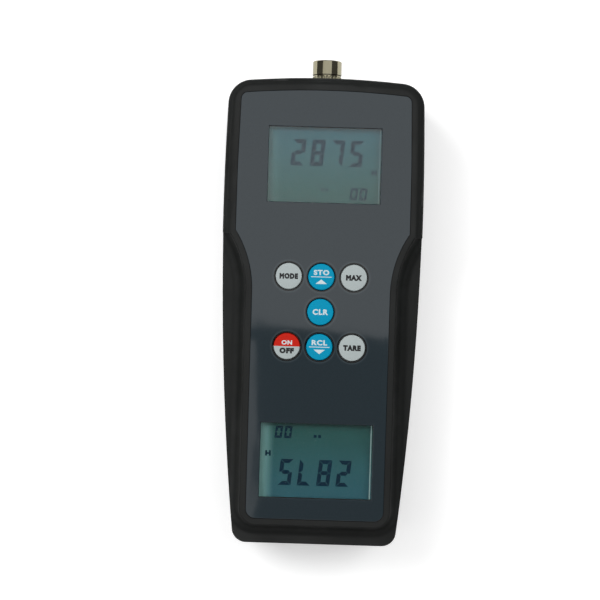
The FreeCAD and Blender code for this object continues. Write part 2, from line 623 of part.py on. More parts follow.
rear = new_body("rear_cover")
case_form(rear, True, "back_round")
socket_passage(rear)
cavity(rear, "rear_room", PARTING, f"{PARTING} - back_wall", False)
groove = new_sketch(rear, "lip_groove", height=PARTING)
case_outline(groove, "wall - lip_width - lip_gap")
pocket(rear, "lip_groove_cut", groove, "lip_height + lip_gap")
rails = strip_outline(rear, "rail_outline", RAIL_HALF, f"{BOTTOM_END} + wall / 2",
                      f"{DOOR_TOP} + door_gap + rail_wall", "back_wall / 2")
pad(rear, "rails", rails, "door_thick + door_gap + rail_roof - back_wall / 2")
tub = new_sketch(rear, "tub_outline", height="back_wall / 2")
rectangle(tub, "0", BAY_MIDDLE, f"2 * ({BAY_HALF} + bay_wall)", "bay_length + 2 * bay_wall")
pad(rear, "tub", tub, f"{BAY_ROOF} + bay_wall - back_wall / 2")
tubes = circles(rear, "screw_tubes", CASE_SCREWS, "boss / 2", "back_wall / 2")
pad(rear, "screw_tube_pads", tubes, f"{PARTING} - back_wall / 2")
bay = new_sketch(rear, "bay_outline", height=BAY_ROOF)
rectangle(bay, "0", BAY_MIDDLE, f"2 * {BAY_HALF}", "bay_length")
pocket(rear, "bay_cut", bay, BAY_ROOF + " + back_wall")
run_top, run_mouth = "door_thick + door_gap", f"{BOTTOM_END} - wall"
run = strip_outline(rear, "door_run", "(door_half + door_gap)", run_mouth,
                    f"{DOOR_TOP} + door_gap", run_top)
pocket(rear, "door_run_cut", run, f"{run_top} + back_wall")
flange_run = strip_outline(rear, "flange_run", "(" + FLANGE_HALF + " + door_gap)", run_mouth,
                           f"{DOOR_TOP} + door_gap", run_top)
pocket(rear, "flange_run_cut", flange_run, "door_flange_thick + 2 * door_gap")
clear_holes = circles(rear, "screw_clear_holes", CASE_SCREWS, "screw_clear / 2", PARTING)
pocket(rear, "screw_clear_cut", clear_holes, f"2 * {PARTING}")
bores = circles(rear, "screw_bores", CASE_SCREWS, "screw_bore / 2", "screw_bore_depth")
pocket(rear, "screw_bore_cut", bores, "2 * screw_bore_depth")


# Battery door: a flanged plate cut from the same outer form, so that its end follows the case.
# It slides out through the bottom end.

door_form = new_body("door_form")
door_plate = strip_outline(door_form, "door_plate_outline", "door_half", run_mouth, DOOR_TOP, "0")
pad(door_form, "door_plate", door_plate, "door_thick")
door_wings = strip_outline(door_form, "door_wings_outline", FLANGE_HALF, run_mouth, DOOR_TOP,
                           DOOR_STEP)
pad(door_form, "door_wings", door_wings, "door_flange_thick")
door = new_body("battery_door")
case_form(door, True, "back_round")
boolean(door, "door_shape", "Common", door_form)
ridge = strip_outline(door, "thumb_ridge", "(door_half / 2)", f"{BOTTOM_END} + ridge_from_end",
                      f"{BOTTOM_END} + ridge_from_end + ridge_width", "0")
first_ridge = pocket(door, "thumb_ridge_cut", ridge, "ridge_depth", True)
ridges = door.newObject("PartDesign::LinearPattern", "thumb_ridges")
ridges.Originals = [first_ridge]
ridges.Direction = (ridge, ["V_Axis"])
bind(ridges, Length="(ridge_count - 1) * ridge_pitch", Occurrences="ridge_count")
door.Tip = ridges


# Face film: printed polycarbonate, open over the lenses and the keys.

overlay = new_body("front_overlay")
film = new_sketch(overlay, "film_outline", height=FACE)
plateau_outline(film, "overlay_rim", "overlay_side", "overlay_corner")
pad(overlay, "film", film, "overlay_thick")
openings = new_sketch(overlay, "film_windows", height=FACE)
for y in WINDOWS.values():
    rectangle(openings, "0", y, "window_width", "window_height")
pocket(overlay, "film_window_cut", openings, "overlay_thick", True)
film_holes = circles(overlay, "film_holes", KEYS.values(), "key_diameter / 2 + key_hole_gap", FACE)
pocket(overlay, "film_hole_cut", film_holes, "overlay_thick", True)


# Display stacks: lens, glass, backlight, contact strips and holder, the same at both ends.

for end, y in WINDOWS.items():
    slab(end + "_lens", "0", y, "window_width + 2 * lens_margin",
         "window_height + 2 * lens_margin", f"{FACE} - lens_thick", "lens_thick")
    slab(end + "_display_glass", "0", y, "glass_width", "glass_height", GLASS_BOTTOM,
         "glass_thick")
    slab(end + "_backlight", "0", y, "light_width", "light_height",
         f"{GLASS_BOTTOM} - light_thick", "light_thick")
    strips = new_body(end + "_contact_strips")
    strip_rows = new_sketch(strips, end + "_strip_outlines", height=BOARD_TOP)
    for side in ("-", "+"):
        rectangle(strip_rows, "0", f"{y} {side} (light_height / 2 + strip_gap + strip_width / 2)",
                  "strip_length", "strip_width")
    pad(strips, end + "_strips", strip_rows, f"{GLASS_BOTTOM} - {BOARD_TOP}")
    holder = new_body(end + "_display_frame")
    walls = new_sketch(holder, end + "_frame_outline", height=BOARD_TOP)
    for grow in ("2 * frame_gap + 2 * frame_wall", "2 * frame_gap"):
        rectangle(walls, "0", y, "glass_width + " + grow, "glass_height + " + grow)
    pad(holder, end + "_frame_walls", walls, f"{GLASS_TOP} - frame_drop - {BOARD_TOP}")
    shelf = new_sketch(holder, end + "_shelf_outline",
                       height=f"{GLASS_BOTTOM} - light_thick - frame_floor")
    rectangle(shelf, "0", y, "glass_width + 2 * frame_gap + frame_wall", "light_height")
    pad(holder, end + "_shelf", shelf, "frame_floor")


# Main board, its chips and its screws.

board = new_body("main_board")
board_edge = new_sketch(board, "board_outline", height=BOARD_BOTTOM)
BOARD_SIDE = "(case_width / 2 - board_wide_in)"
right_side = [(BOARD_HALF, f"{BOTTOM_END} + board_from_bottom"),
              (BOARD_HALF, "board_step - board_step_rise"), (BOARD_SIDE, "board_step"),
              (BOARD_SIDE, f"{TOP_END} - board_from_top")]
left_side = [("-" + x, y) for x, y in reversed(right_side)]
polygon(board_edge, right_side + left_side)
pad(board, "board_plate", board_edge, "board_thick")
board_holes = circles(board, "board_screw_holes", BOARD_SCREWS,
                      "board_screw / 2 + 2 * pilot_gap", BOARD_TOP)
pocket(board, "board_screw_hole_cut", board_holes, "board_thick")

# the chips hang under the board
chips = new_body("board_chips")
for chip in CHIPS:
    outline = new_sketch(chips, chip + "_outline", height=BOARD_BOTTOM)
    along = f"{WINDOW_Y} + {chip}_along" if chip == "amplifier" else f"{chip}_along"
    rectangle(outline, f"{chip}_across", along, f"{chip}_wide", f"{chip}_long")
    pad(chips, chip, outline, f"{chip}_thick", True)


def screws(label, places, shaft, length, head, thick, seat):
    """Pan-head screws driven from below, as one group of separate solids."""
    body = new_body(label)
    pad(body, label + "_shafts", circles(body, label + "_shaft_circles", places, f"{shaft} / 2",
                                         seat), length)
    pad(body, label + "_heads", circles(body, label + "_head_circles", places, f"{head} / 2",
                                        seat), thick, True)


screws("board_screws", BOARD_SCREWS, "board_screw", "board_screw_length", "board_screw_head",
       "board_screw_head_thick", BOARD_BOTTOM)
screws("case_screws", CASE_SCREWS, "screw", f"{PARTING} - screw_bore_depth + screw_bite",
       "screw_head", "screw_head_thick", "screw_bore_depth")


# Keys: a cap that shows through the film, and the plunger of the switch below, seven times.
# At rest the cap's flange bears on the underside of the front cover.

STEM_FOOT = f"({BOARD_TOP} + switch_height + plunger_out)"
switch_cases = new_body("switch_bodies")
switch_squares = new_sketch(switch_cases, "switch_outlines", height=BOARD_TOP)
for x, y in KEYS.values():
    rectangle(switch_squares, x, y, "switch_size", "switch_size")
pad(switch_cases, "switch_blocks", switch_squares, "switch_height")
wells = circles(switch_cases, "plunger_wells", KEYS.values(),
                "plunger_diameter / 2 + running_gap", f"{BOARD_TOP} + switch_height")
pocket(switch_cases, "plunger_well_cut", wells, "plunger_sunk + 2 * key_travel")


def key_cap(name, x, y):
    cap = new_body("key_cap_" + name)
    profile = new_sketch(cap, name + "_profile", "XZ_Plane")
    top = f"{FACE} + overlay_thick + key_proud"
    flange_foot = f"{CEILING} - key_flange_thick"
    polygon(profile, [("0", STEM_FOOT), ("key_stem / 2", STEM_FOOT),
                      ("key_stem / 2", flange_foot), ("key_flange / 2", flange_foot),
                      ("key_flange / 2", CEILING), ("key_diameter / 2", CEILING),
                      ("key_diameter / 2", top), ("0", top)])
    turned = revolve(cap, name + "_turned", profile)
    bevel_edges(cap, name + "_edge", turned, lies_at(top), "key_edge")
    return bind(cap, **{"Placement.Base.x": x, "Placement.Base.y": y})


def plunger(name, x, y):
    body = new_body("key_plunger_" + name)
    low = f"{BOARD_TOP} + switch_height - plunger_sunk"
    disc = circles(body, name + "_plunger_circle", [("0", "0")], "plunger_diameter / 2", low)
    pad(body, name + "_plunger", disc, "plunger_sunk + plunger_out")
    return bind(body, **{"Placement.Base.x": x, "Placement.Base.y": y})


for name, (x, y) in KEYS.items():
    key_cap(name, x, y)
    plunger(name, x, y)


# Load-cell socket: turned shell with a shouldered neck, insulator, four contacts,
# washer, nut and the wires to the board. Its axis runs along the joint of the covers.

SHOULDER = "(case_length / 2 - spot_depth)"
MOUTH = "(case_length / 2 + socket_out)"
BORE_END = "(" + MOUTH + " - socket_bore_depth - insulator_length)"
INNER_WALL = "(case_length / 2 - wall)"


def on_socket_axis(body):
    return bind(body, **{"Placement.Base.z": PARTING})


shell = on_socket_axis(new_body("socket_shell"))
shell_profile = new_sketch(shell, "shell_profile")
NECK_END = "(" + SHOULDER + " - socket_neck_length)"
polygon(shell_profile, [("socket_bore / 2", NECK_END), ("socket_neck / 2", NECK_END),
                        ("socket_neck / 2", SHOULDER), ("socket_diameter / 2", SHOULDER),
                        ("socket_diameter / 2", MOUTH), ("socket_bore / 2", MOUTH)])
turned_shell = revolve(shell, "turned_shell", shell_profile)
doc.recompute()
mouth_level, outer = value(MOUTH), value("socket_diameter / 2")


def at_mouth(edge):
    box = edge.BoundBox
    return abs(box.YMin - mouth_level) < 1e-4 and abs(box.XMax - outer) < 1e-4


bevel_edges(shell, "mouth_bevel", turned_shell, at_mouth, "socket_edge")

# two contacts above the middle and two below, as expressions from the socket's axis
STEP = "(contact_circle / 2 * sqrt(0.5))"
CONTACTS = [(sx + STEP, sz + STEP) for sx in ("", "-") for sz in ("", "-")]


def facing(body, name, places, radius, along):
    """Circles in a plane across the socket's axis, at a distance along +Y."""
    sketch = new_sketch(body, name, "XZ_Plane", f"-{along}")
    for x, z in places:
        circle(sketch, x, z, radius)
    return sketch


insulator = on_socket_axis(new_body("socket_insulator"))
core = facing(insulator, "insulator_circle", [("0", "0")], "socket_bore / 2 - running_gap",
              "(" + MOUTH + " - socket_bore_depth)")
pad(insulator, "insulator_core", core, "insulator_length")
contact_holes = facing(insulator, "contact_holes", CONTACTS,
                       "contact_diameter / 2 + running_gap", BORE_END)
pocket(insulator, "contact_hole_cut", contact_holes, "2 * insulator_length")
contacts = on_socket_axis(new_body("socket_contacts"))
contact_rods = facing(contacts, "contact_circles", CONTACTS, "contact_diameter / 2",
                      "(" + MOUTH + " - socket_bore_depth)")
pad(contacts, "contact_rods", contact_rods, "insulator_length + contact_tail")

WASHER_FACE = "(" + INNER_WALL + " - flat_gap)"
washer = on_socket_axis(new_body("socket_washer"))
ring = facing(washer, "washer_circles", [("0", "0")], "washer_diameter / 2", WASHER_FACE)
circle(ring, "0", "0", "socket_neck / 2 + running_gap")
pad(washer, "washer_ring", ring, "washer_thick")
nut = on_socket_axis(new_body("socket_nut"))
nut_face = facing(nut, "nut_bore", [("0", "0")], "socket_neck / 2 + running_gap",
                  "(" + WASHER_FACE + " - washer_thick)")
hexagon(nut_face, "0", "0", "nut_across")
pad(nut, "nut_block", nut_face, "nut_thick")

TAIL = "(" + BORE_END + " - contact_tail)"
# each lead is drawn with six sides, since it lies sealed inside
wires = new_body("sensor_wires")
for number, (x, z) in enumerate(CONTACTS, start=1):
    lead = new_sketch(wires, f"wire_path_{number}", "YZ_Plane", x)
    level = f"({PARTING} + {z})"
    # the lower pair turns up one step further in, so that the wires pass each other
    turn = f"({TAIL} - wire_reach{' - wire_step' if z.startswith('-') else ''})"
    start = Vector(value(TAIL), value(level), 0)
    bend = Vector(value(turn), value(level), 0)
    radius = value("wire_bend")
    run = lead.addGeometry(Part.LineSegment(start, bend), False)
    arc = add_arc(lead, (bend.x, bend.y + radius), radius, 180, 270)
    foot = Vector(bend.x - radius, bend.y + radius, 0)
    top = Vector(foot.x, value(BOARD_BOTTOM), 0)
    rise = lead.addGeometry(Part.LineSegment(foot, top), False)
    join(lead, "Tangent", run, 2, arc, 2)
    join(lead, "Tangent", arc, 1, rise, 1)
    lead.addConstraint(Sketcher.Constraint("Vertical", rise))
    fix_point(lead, run, 1, TAIL, level)
    fix_point(lead, run, 2, turn, level)
    fix(lead, "Radius", (arc,), "wire_bend")
    fix(lead, "DistanceY", (-1, 1, rise, 2), BOARD_BOTTOM)
    end_face = new_sketch(wires, f"wire_end_{number}", "XZ_Plane", f"-{TAIL}")
    hexagon(end_face, x, level, "wire_diameter")
    wire = wires.newObject("PartDesign::AdditivePipe", f"wire_{number}")
    wire.Profile = end_face
    wire.Spine = (lead, ["Edge1", "Edge2", "Edge3"])


# Batteries side by side, nubs turned by turns, with a flat plate at each nub
# and a folded leaf spring at each base.

CELLS = [f"({k} * cell_pitch / 2)" for k in (-3, -1, 1, 3)]
CELL_LEVEL = "(door_thick + bay_clear + cell_diameter / 2)"
SPRING_ROOM = "(bay_length - cell_length - plate_thick)"

cells = new_body("batteries")
plates = new_body("battery_plates")
springs = new_body("battery_springs")
for number, x in enumerate(CELLS, start=1):
    # towards is the bay end that the nub meets: its +Y end for odd cells, its -Y end for even
    odd = number % 2 == 1
    sign = "-" if odd else "+"
    nub_end = f"({BAY_TOP} - plate_thick)" if odd else f"({BAY_LOW} + plate_thick)"
    spring_end = BAY_LOW if odd else BAY_TOP
    profile = new_sketch(cells, f"cell_profile_{number}", "XY_Plane", CELL_LEVEL)
    shoulder = f"({nub_end} {sign} cell_nub_length)"
    base = f"({nub_end} {sign} cell_length)"
    polygon(profile, [(x, base), (f"{x} + cell_diameter / 2", base),
                      (f"{x} + cell_diameter / 2", shoulder), (f"{x} + cell_nub / 2", shoulder),
                      (f"{x} + cell_nub / 2", nub_end), (x, nub_end)])
    turned_cell = cells.newObject("PartDesign::Revolution", f"cell_{number}")
    turned_cell.Profile = profile
    turned_cell.ReferenceAxis = (profile, ["Edge6"])
    turned_cell.Angle = 360
    plate = new_sketch(plates, f"plate_outline_{number}", "XZ_Plane", f"-{nub_end}")
    rectangle(plate, x, CELL_LEVEL, "plate_width", "plate_height")
    pad(plates, f"plate_{number}", plate, "plate_thick", odd)
    leaf = new_sketch(springs, f"leaf_profile_{number}", "YZ_Plane", f"{x} - plate_width / 2")
    out = "+" if odd else "-"
    low, high = f"({CELL_LEVEL} - plate_height / 2)", f"({CELL_LEVEL} + plate_height / 2)"
    tip = f"({spring_end} {out} {SPRING_ROOM})"
    front_of_plate, free = f"{spring_end} {out} plate_thick", f"{spring_end} {out} leaf_free"
    # up from the foot to the cell, back towards the wall, and down the wall plate
    polygon(leaf, [(spring_end, low), (tip, f"{CELL_LEVEL} - plate_thick"),
                   (tip, f"{CELL_LEVEL} + plate_thick"), (free, high),
                   (free, f"{high} - 1.5 * plate_thick"),
                   (f"{tip} - ({out}1.5) * plate_thick", CELL_LEVEL),
                   (front_of_plate, f"{low} + 2 * plate_thick"), (front_of_plate, high),
                   (spring_end, high)])
    pad(springs, f"leaf_{number}", leaf, "plate_width")


# Check every object and every sub-part, then write one file for each.

doc.recompute()
for thing in doc.Objects:
    if "Invalid" in thing.State or "Error" in thing.State:
        raise ValueError(f"{thing.Name} failed")
helpers = {scoop, door_form}
pieces = [o for o in doc.Objects if o.TypeId == "PartDesign::Body" and o not in helpers]
for piece in pieces:
    if piece.Shape.isNull() or not piece.Shape.isValid() or not piece.Shape.Solids:
        raise ValueError(f"{piece.Label} has no sound solid")
os.makedirs("parts", exist_ok=True)
for piece in pieces:
    piece.Shape.exportStep(f"parts/{piece.Label}.step")
print(f"{len(pieces)} sub-parts written")
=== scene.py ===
import math

import bmesh
import bpy
from mathutils import Matrix, Vector


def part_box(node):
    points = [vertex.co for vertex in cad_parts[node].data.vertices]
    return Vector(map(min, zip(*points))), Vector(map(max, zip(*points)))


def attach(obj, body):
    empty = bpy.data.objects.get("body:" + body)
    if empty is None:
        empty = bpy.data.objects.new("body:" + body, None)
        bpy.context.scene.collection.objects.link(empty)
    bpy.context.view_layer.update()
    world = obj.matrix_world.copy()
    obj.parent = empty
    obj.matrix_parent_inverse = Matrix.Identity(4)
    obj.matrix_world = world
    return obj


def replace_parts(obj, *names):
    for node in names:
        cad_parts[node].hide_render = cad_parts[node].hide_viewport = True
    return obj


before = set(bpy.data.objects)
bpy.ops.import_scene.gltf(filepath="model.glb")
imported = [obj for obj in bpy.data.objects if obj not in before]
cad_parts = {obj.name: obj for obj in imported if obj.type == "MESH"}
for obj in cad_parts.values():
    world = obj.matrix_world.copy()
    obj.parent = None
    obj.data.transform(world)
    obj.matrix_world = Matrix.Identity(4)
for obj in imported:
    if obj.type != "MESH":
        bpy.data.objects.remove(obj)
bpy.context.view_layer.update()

# A handheld force gauge lying on its back: a scooped black case, a graphite face film,
# two displays, seven keys and a plated socket. Sizes are in millimetres, and MM makes them metres.
MM = 0.001


# Rear cover: the back half of the case, injection-moulded black ABS with an eroded mould texture.
# It takes the lip of the front cover all round and is held by four screws from behind.
# The fine pebble of the texture breaks up highlights, and handling has polished it unevenly.

MIX_A, MIX_B, MIXED = 6, 7, 2  # the colour sockets of a Mix node
WEAR_PATCH = 14  # how wide a patch of hand wear is, in mm
FLANK_EDGE, FLANK_ROUGH = 0.95, 0.72  # how far up a face looks where a flank starts and is steep
SAME_POINT = 0.001  # corners closer than this, in mm, are one
# An edge that turns further than these angles stays crisp, on any piece, the case and the print.
CRISP, CRISP_CASE, CRISP_PRINT = (math.radians(a) for a in (35, 24, 10))
CORNER = math.radians(60)  # an edge that turns further than this is a corner
SEAM_EDGE = 0.25  # the rounding of each cover along the seam, in mm


def linear(code):
    """The linear colour of an sRGB hex value."""
    parts = [int(code[k:k + 2], 16) / 255 for k in (0, 2, 4)]
    return [p / 12.92 if p <= 0.04045 else ((p + 0.055) / 1.055) ** 2.4 for p in parts] + [1.0]


def add(tree, kind, sockets=None, **settings):
    """One node: its own settings, and for each socket a value or the output that feeds it."""
    node = tree.nodes.new(kind)
    for name, value in settings.items():
        setattr(node, name, value)
    for socket, value in (sockets or {}).items():
        if isinstance(value, bpy.types.NodeSocket):
            tree.links.new(value, node.inputs[socket])
        else:
            node.inputs[socket].default_value = value
    return node


def start_material(name):
    """An empty material, its tree and the Object coordinates that its patterns read."""
    material = bpy.data.materials.new(name)
    material.use_nodes = True
    tree = material.node_tree
    tree.nodes.clear()
    return material, tree, add(tree, "ShaderNodeTexCoord").outputs["Object"]


def show(tree, shader):
    """Ends a material with its finished shader."""
    add(tree, "ShaderNodeOutputMaterial", {"Surface": shader})


def moulded(name, colour, rubbed, roughness, grain, height, polish=0.08, steep=0.0):
    """Moulded plastic: grain is the pitch of the mould's texture and height its depth, in mm.

    steep is how much rougher the flanks are, where no hand has polished the texture.
    """
    material, tree, place = start_material(name)
    wear = add(tree, "ShaderNodeTexNoise",
               {"Vector": place, "Scale": 1 / (WEAR_PATCH * MM), "Detail": 4.0})
    pebble = add(tree, "ShaderNodeTexNoise",
                 {"Vector": place, "Scale": 1 / (grain * MM), "Detail": 2.0})
    tone = add(tree, "ShaderNodeMix", {0: wear.outputs["Fac"], MIX_A: linear(colour),
                                       MIX_B: linear(rubbed)}, data_type="RGBA")
    gloss = add(tree, "ShaderNodeMapRange", {"Value": wear.outputs["Fac"], "From Min": 0.3,
                                             "From Max": 0.7, "To Min": roughness + polish,
                                             "To Max": roughness - polish})
    normal = add(tree, "ShaderNodeSeparateXYZ", {"Vector": place.node.outputs["Normal"]})
    facing = add(tree, "ShaderNodeMath", {0: normal.outputs["Z"]}, operation="ABSOLUTE")
    flank = add(tree, "ShaderNodeMapRange", {"Value": facing.outputs[0], "From Min": FLANK_ROUGH,
                                             "From Max": FLANK_EDGE, "To Min": steep,
                                             "To Max": 0.0})
    worn = add(tree, "ShaderNodeMath", {0: gloss.outputs["Result"], 1: flank.outputs["Result"]},
               operation="ADD")
    relief = add(tree, "ShaderNodeBump", {"Height": pebble.outputs["Fac"], "Strength": 0.6,
                                          "Distance": height * MM})
    plastic = add(tree, "ShaderNodeBsdfPrincipled",
                  {"Base Color": tone.outputs[MIXED], "Roughness": worn.outputs[0],
                   "Normal": relief.outputs["Normal"], "IOR": 1.53,
                   "Specular IOR Level": 0.37})
    show(tree, plastic.outputs["BSDF"])
    return material


def make_piece(name, shape, material, body, smooth=CRISP):
    """A finished bmesh as a named piece; edges sharper than smooth stay crisp."""
    for face in shape.faces:
        face.smooth = True
    for edge in shape.edges:
        edge.smooth = len(edge.link_faces) == 2 and edge.calc_face_angle(0.0) < smooth
    mesh = bpy.data.meshes.new(name)
    shape.to_mesh(mesh)
    shape.free()
    mesh.materials.append(material)
    piece = bpy.data.objects.new(name, mesh)
    bpy.context.scene.collection.objects.link(piece)
    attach(piece, body)
    return piece


def even_flats(piece):
    """Shades a flat evenly up to the rounding beside it."""
    even = piece.modifiers.new("even_flats", "WEIGHTED_NORMAL")
    even.keep_sharp = True


def merged(node):
    """A node's form with its loose triangles joined, so that its roundings shade smoothly."""
    shape = bmesh.new()
    shape.from_mesh(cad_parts[node].data)
    bmesh.ops.remove_doubles(shape, verts=shape.verts, dist=SAME_POINT * MM)
    return shape


def round_off(shape, edges, radius):
    """Rounds outer edges by a radius in mm."""
    bmesh.ops.bevel(shape, geom=edges, offset=radius * MM, offset_type="OFFSET", segments=2,
                    profile=0.5, material=-1, affect="EDGES")


def seam_edges(shape):
    """The outer edges along which the covers meet, followed from the widest point round the case.

    They end on both sides of the socket, where its washer covers the seam.
    """
    widest = max(v.co.x for v in shape.verts)
    reached = [v for v in shape.verts if v.co.x > widest - SAME_POINT * MM]
    level, washer = reached[0].co.z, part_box("socket_washer")[1].x
    found = set()
    while reached:
        fresh = {e for v in reached for e in v.link_edges
                 if e.calc_face_angle(0.0) > CORNER
                 and all(abs(end.co.z - level) < SAME_POINT * MM for end in e.verts)
                 and (all(abs(end.co.x) > washer for end in e.verts) or e.verts[0].co.y < 0)}
        reached = {v for e in fresh - found for v in e.verts}
        found |= fresh
    return list(found)


def moulding(name, node, material, body, seam=False):
    """A moulded form in the place of its node; a cover is rounded along its seam."""
    shape = merged(node)
    if seam:
        round_off(shape, seam_edges(shape), SEAM_EDGE)
    piece = make_piece(name, shape, material, body, CRISP_CASE)
    even_flats(piece)
    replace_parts(piece, node)


case_abs = moulded("black_abs_eroded_texture", "090B0A", "101312", 0.42, 0.45, 0.02, steep=0.5)
moulding("rear_shell", "rear_cover", case_abs, "housing", seam=True)


# Battery door: the same black ABS from another mould, a little glossier where thumbs push it.
# It slides in rails under the bottom end and has five ridges for the thumb.

door_abs = moulded("black_abs_door", "0B0D0C", "131615", 0.37, 0.5, 0.02, steep=0.4)
moulding("sliding_door", "battery_door", door_abs, "door")


# Case screws: M3 pan heads, zinc-plated steel with a cross recess, driven up from behind
# through the tubes of the rear cover. The plating is bright with a faint bluish cloud.

screw_low, screw_high = (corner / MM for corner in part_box("case_screws"))
SCREW_HEAD_FOOT, SCREW_TIP = screw_low.z, screw_high.z
HEAD_TALL, HEAD_RADIUS, HEAD_FLAT, PAN_EDGE, PAN_SHOULDER, PAN_TALL = 2.2, 2.8, 2.0, 0.25, 0.35, 1.1
SHANK_RADIUS, TIP_RADIUS, TIP_LONG = 1.5, 1.1, 0.5
RECESS_HALF, RECESS_ARM, RECESS_DEPTH, RECESS_TAPER = 1.55, 0.32, 1.3, 0.7
DOOR_TO_SCREW = 4.9  # from the side of the battery door to a lower screw
SCREW_SIDES = 28
GLOSS_SPREAD = 0.4  # tarnish makes a metal's roughness vary by this share either way


def metal(name, colour, tarnish, roughness, cloud, streak=1.0):
    """Bare or plated metal: cloud is the size of its tarnish patches, in mm."""
    material, tree, place = start_material(name)
    stretch = add(tree, "ShaderNodeMapping", {"Vector": place, "Scale": (1.0, streak, 1.0)})
    patches = add(tree, "ShaderNodeTexNoise", {"Vector": stretch.outputs["Vector"],
                                               "Scale": 1 / (cloud * MM), "Detail": 5.0})
    tone = add(tree, "ShaderNodeMix", {0: patches.outputs["Fac"], MIX_A: linear(colour),
                                       MIX_B: linear(tarnish)}, data_type="RGBA")
    gloss = add(tree, "ShaderNodeMapRange", {"Value": patches.outputs["Fac"],
                                             "To Min": roughness * (1 - GLOSS_SPREAD),
                                             "To Max": roughness * (1 + GLOSS_SPREAD)})
    surface = add(tree, "ShaderNodeBsdfPrincipled",
                  {"Base Color": tone.outputs[MIXED], "Metallic": 1.0,
                   "Roughness": gloss.outputs["Result"]})
    show(tree, surface.outputs["BSDF"])
    return material


def lathe(shape, profile, centre, segments, tilt=Matrix.Identity(4)):
    """Spins a profile of (radius, height) points, in mm, round an upright axis, then tilts it."""
    points = [shape.verts.new((r * MM, 0.0, h * MM)) for r, h in profile]
    lines = [shape.edges.new(pair) for pair in zip(points, points[1:])]
    before = set(shape.verts) - set(points)
    bmesh.ops.spin(shape, geom=points + lines, axis=(0, 0, 1), cent=(0, 0, 0),
                   angle=math.tau, steps=segments, use_merge=True)
    fresh = [v for v in shape.verts if v not in before]
    bmesh.ops.remove_doubles(shape, verts=fresh, dist=SAME_POINT * MM)
    fresh = [v for v in shape.verts if v not in before]
    move = Matrix.Translation(Vector(centre) * MM) @ tilt
    bmesh.ops.transform(shape, matrix=move, verts=fresh)


def cross_screw(shape, x, y):
    """One pan-head screw, head down, with its cross recess cut into the head."""
    before = set(shape.verts)
    seat = SCREW_HEAD_FOOT + HEAD_TALL
    profile = [(HEAD_FLAT, SCREW_HEAD_FOOT),
               (HEAD_RADIUS - PAN_EDGE, SCREW_HEAD_FOOT + PAN_SHOULDER),
               (HEAD_RADIUS, SCREW_HEAD_FOOT + PAN_TALL), (HEAD_RADIUS, seat),
               (SHANK_RADIUS, seat), (SHANK_RADIUS, SCREW_TIP - TIP_LONG),
               (TIP_RADIUS, SCREW_TIP), (0.0, SCREW_TIP)]
    lathe(shape, profile, (0, 0, 0), SCREW_SIDES)
    level = SCREW_HEAD_FOOT * MM
    ring = [e for e in shape.edges if e.is_boundary and not set(e.verts) & before]
    half, arm = RECESS_HALF * MM, RECESS_ARM * MM
    corner = [(half, -arm), (half, arm), (arm, arm)]
    turns = [Matrix.Rotation(math.radians(90 * k), 3, "Z") for k in range(4)]
    loop = [shape.verts.new(turn @ Vector((px, py, level))) for turn in turns for px, py in corner]
    cross = [shape.edges.new(pair) for pair in zip(loop, loop[1:] + loop[:1])]
    bmesh.ops.triangle_fill(shape, edges=ring + cross, use_beauty=True)
    walls = bmesh.ops.extrude_edge_only(shape, edges=cross)["geom"]
    deep = [v for v in walls if isinstance(v, bmesh.types.BMVert)]
    bmesh.ops.translate(shape, verts=deep, vec=(0, 0, RECESS_DEPTH * MM))
    bmesh.ops.scale(shape, verts=deep, vec=(RECESS_TAPER, RECESS_TAPER, 1.0))
    floor_edges = [e for e in walls if isinstance(e, bmesh.types.BMEdge)]
    bmesh.ops.edgeloop_fill(shape, edges=floor_edges)
    fresh = [v for v in shape.verts if v not in before]
    bmesh.ops.translate(shape, verts=fresh, vec=(x * MM, y * MM, 0))


zinc = metal("zinc_plated_steel", "B9BBBE", "8E949C", 0.3, 2.0)
screws = bmesh.new()
upper_x, upper_y = screw_high.x - HEAD_RADIUS, screw_high.y - HEAD_RADIUS
lower_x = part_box("battery_door")[1].x / MM + DOOR_TO_SCREW
lower_y = screw_low.y + HEAD_RADIUS
for side in (-1, 1):
    cross_screw(screws, side * upper_x, upper_y)
    cross_screw(screws, side * lower_x, lower_y)
bmesh.ops.recalc_face_normals(screws, faces=screws.faces)
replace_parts(make_piece("pan_head_screws", screws, zinc, "housing"), "case_screws")


# Batteries, their plates and springs: four size AAA cells in plain shrink sleeves, side by side,
# with nickel-plated plates at the nubs and folded leaf springs at the bases.
# The sleeve is blue gloss film, faintly wrinkled where it shrank, with one plain pale band.

SLEEVE_BLUE, BAND_PALE = "20486F", "C9CCD0"
BAND_MIDDLE, BAND_HALF = -56, 8


def dress(node, material):
    """Gives a piece that is shown as it was made its finish."""
    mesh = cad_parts[node].data
    mesh.materials.clear()
    mesh.materials.append(material)


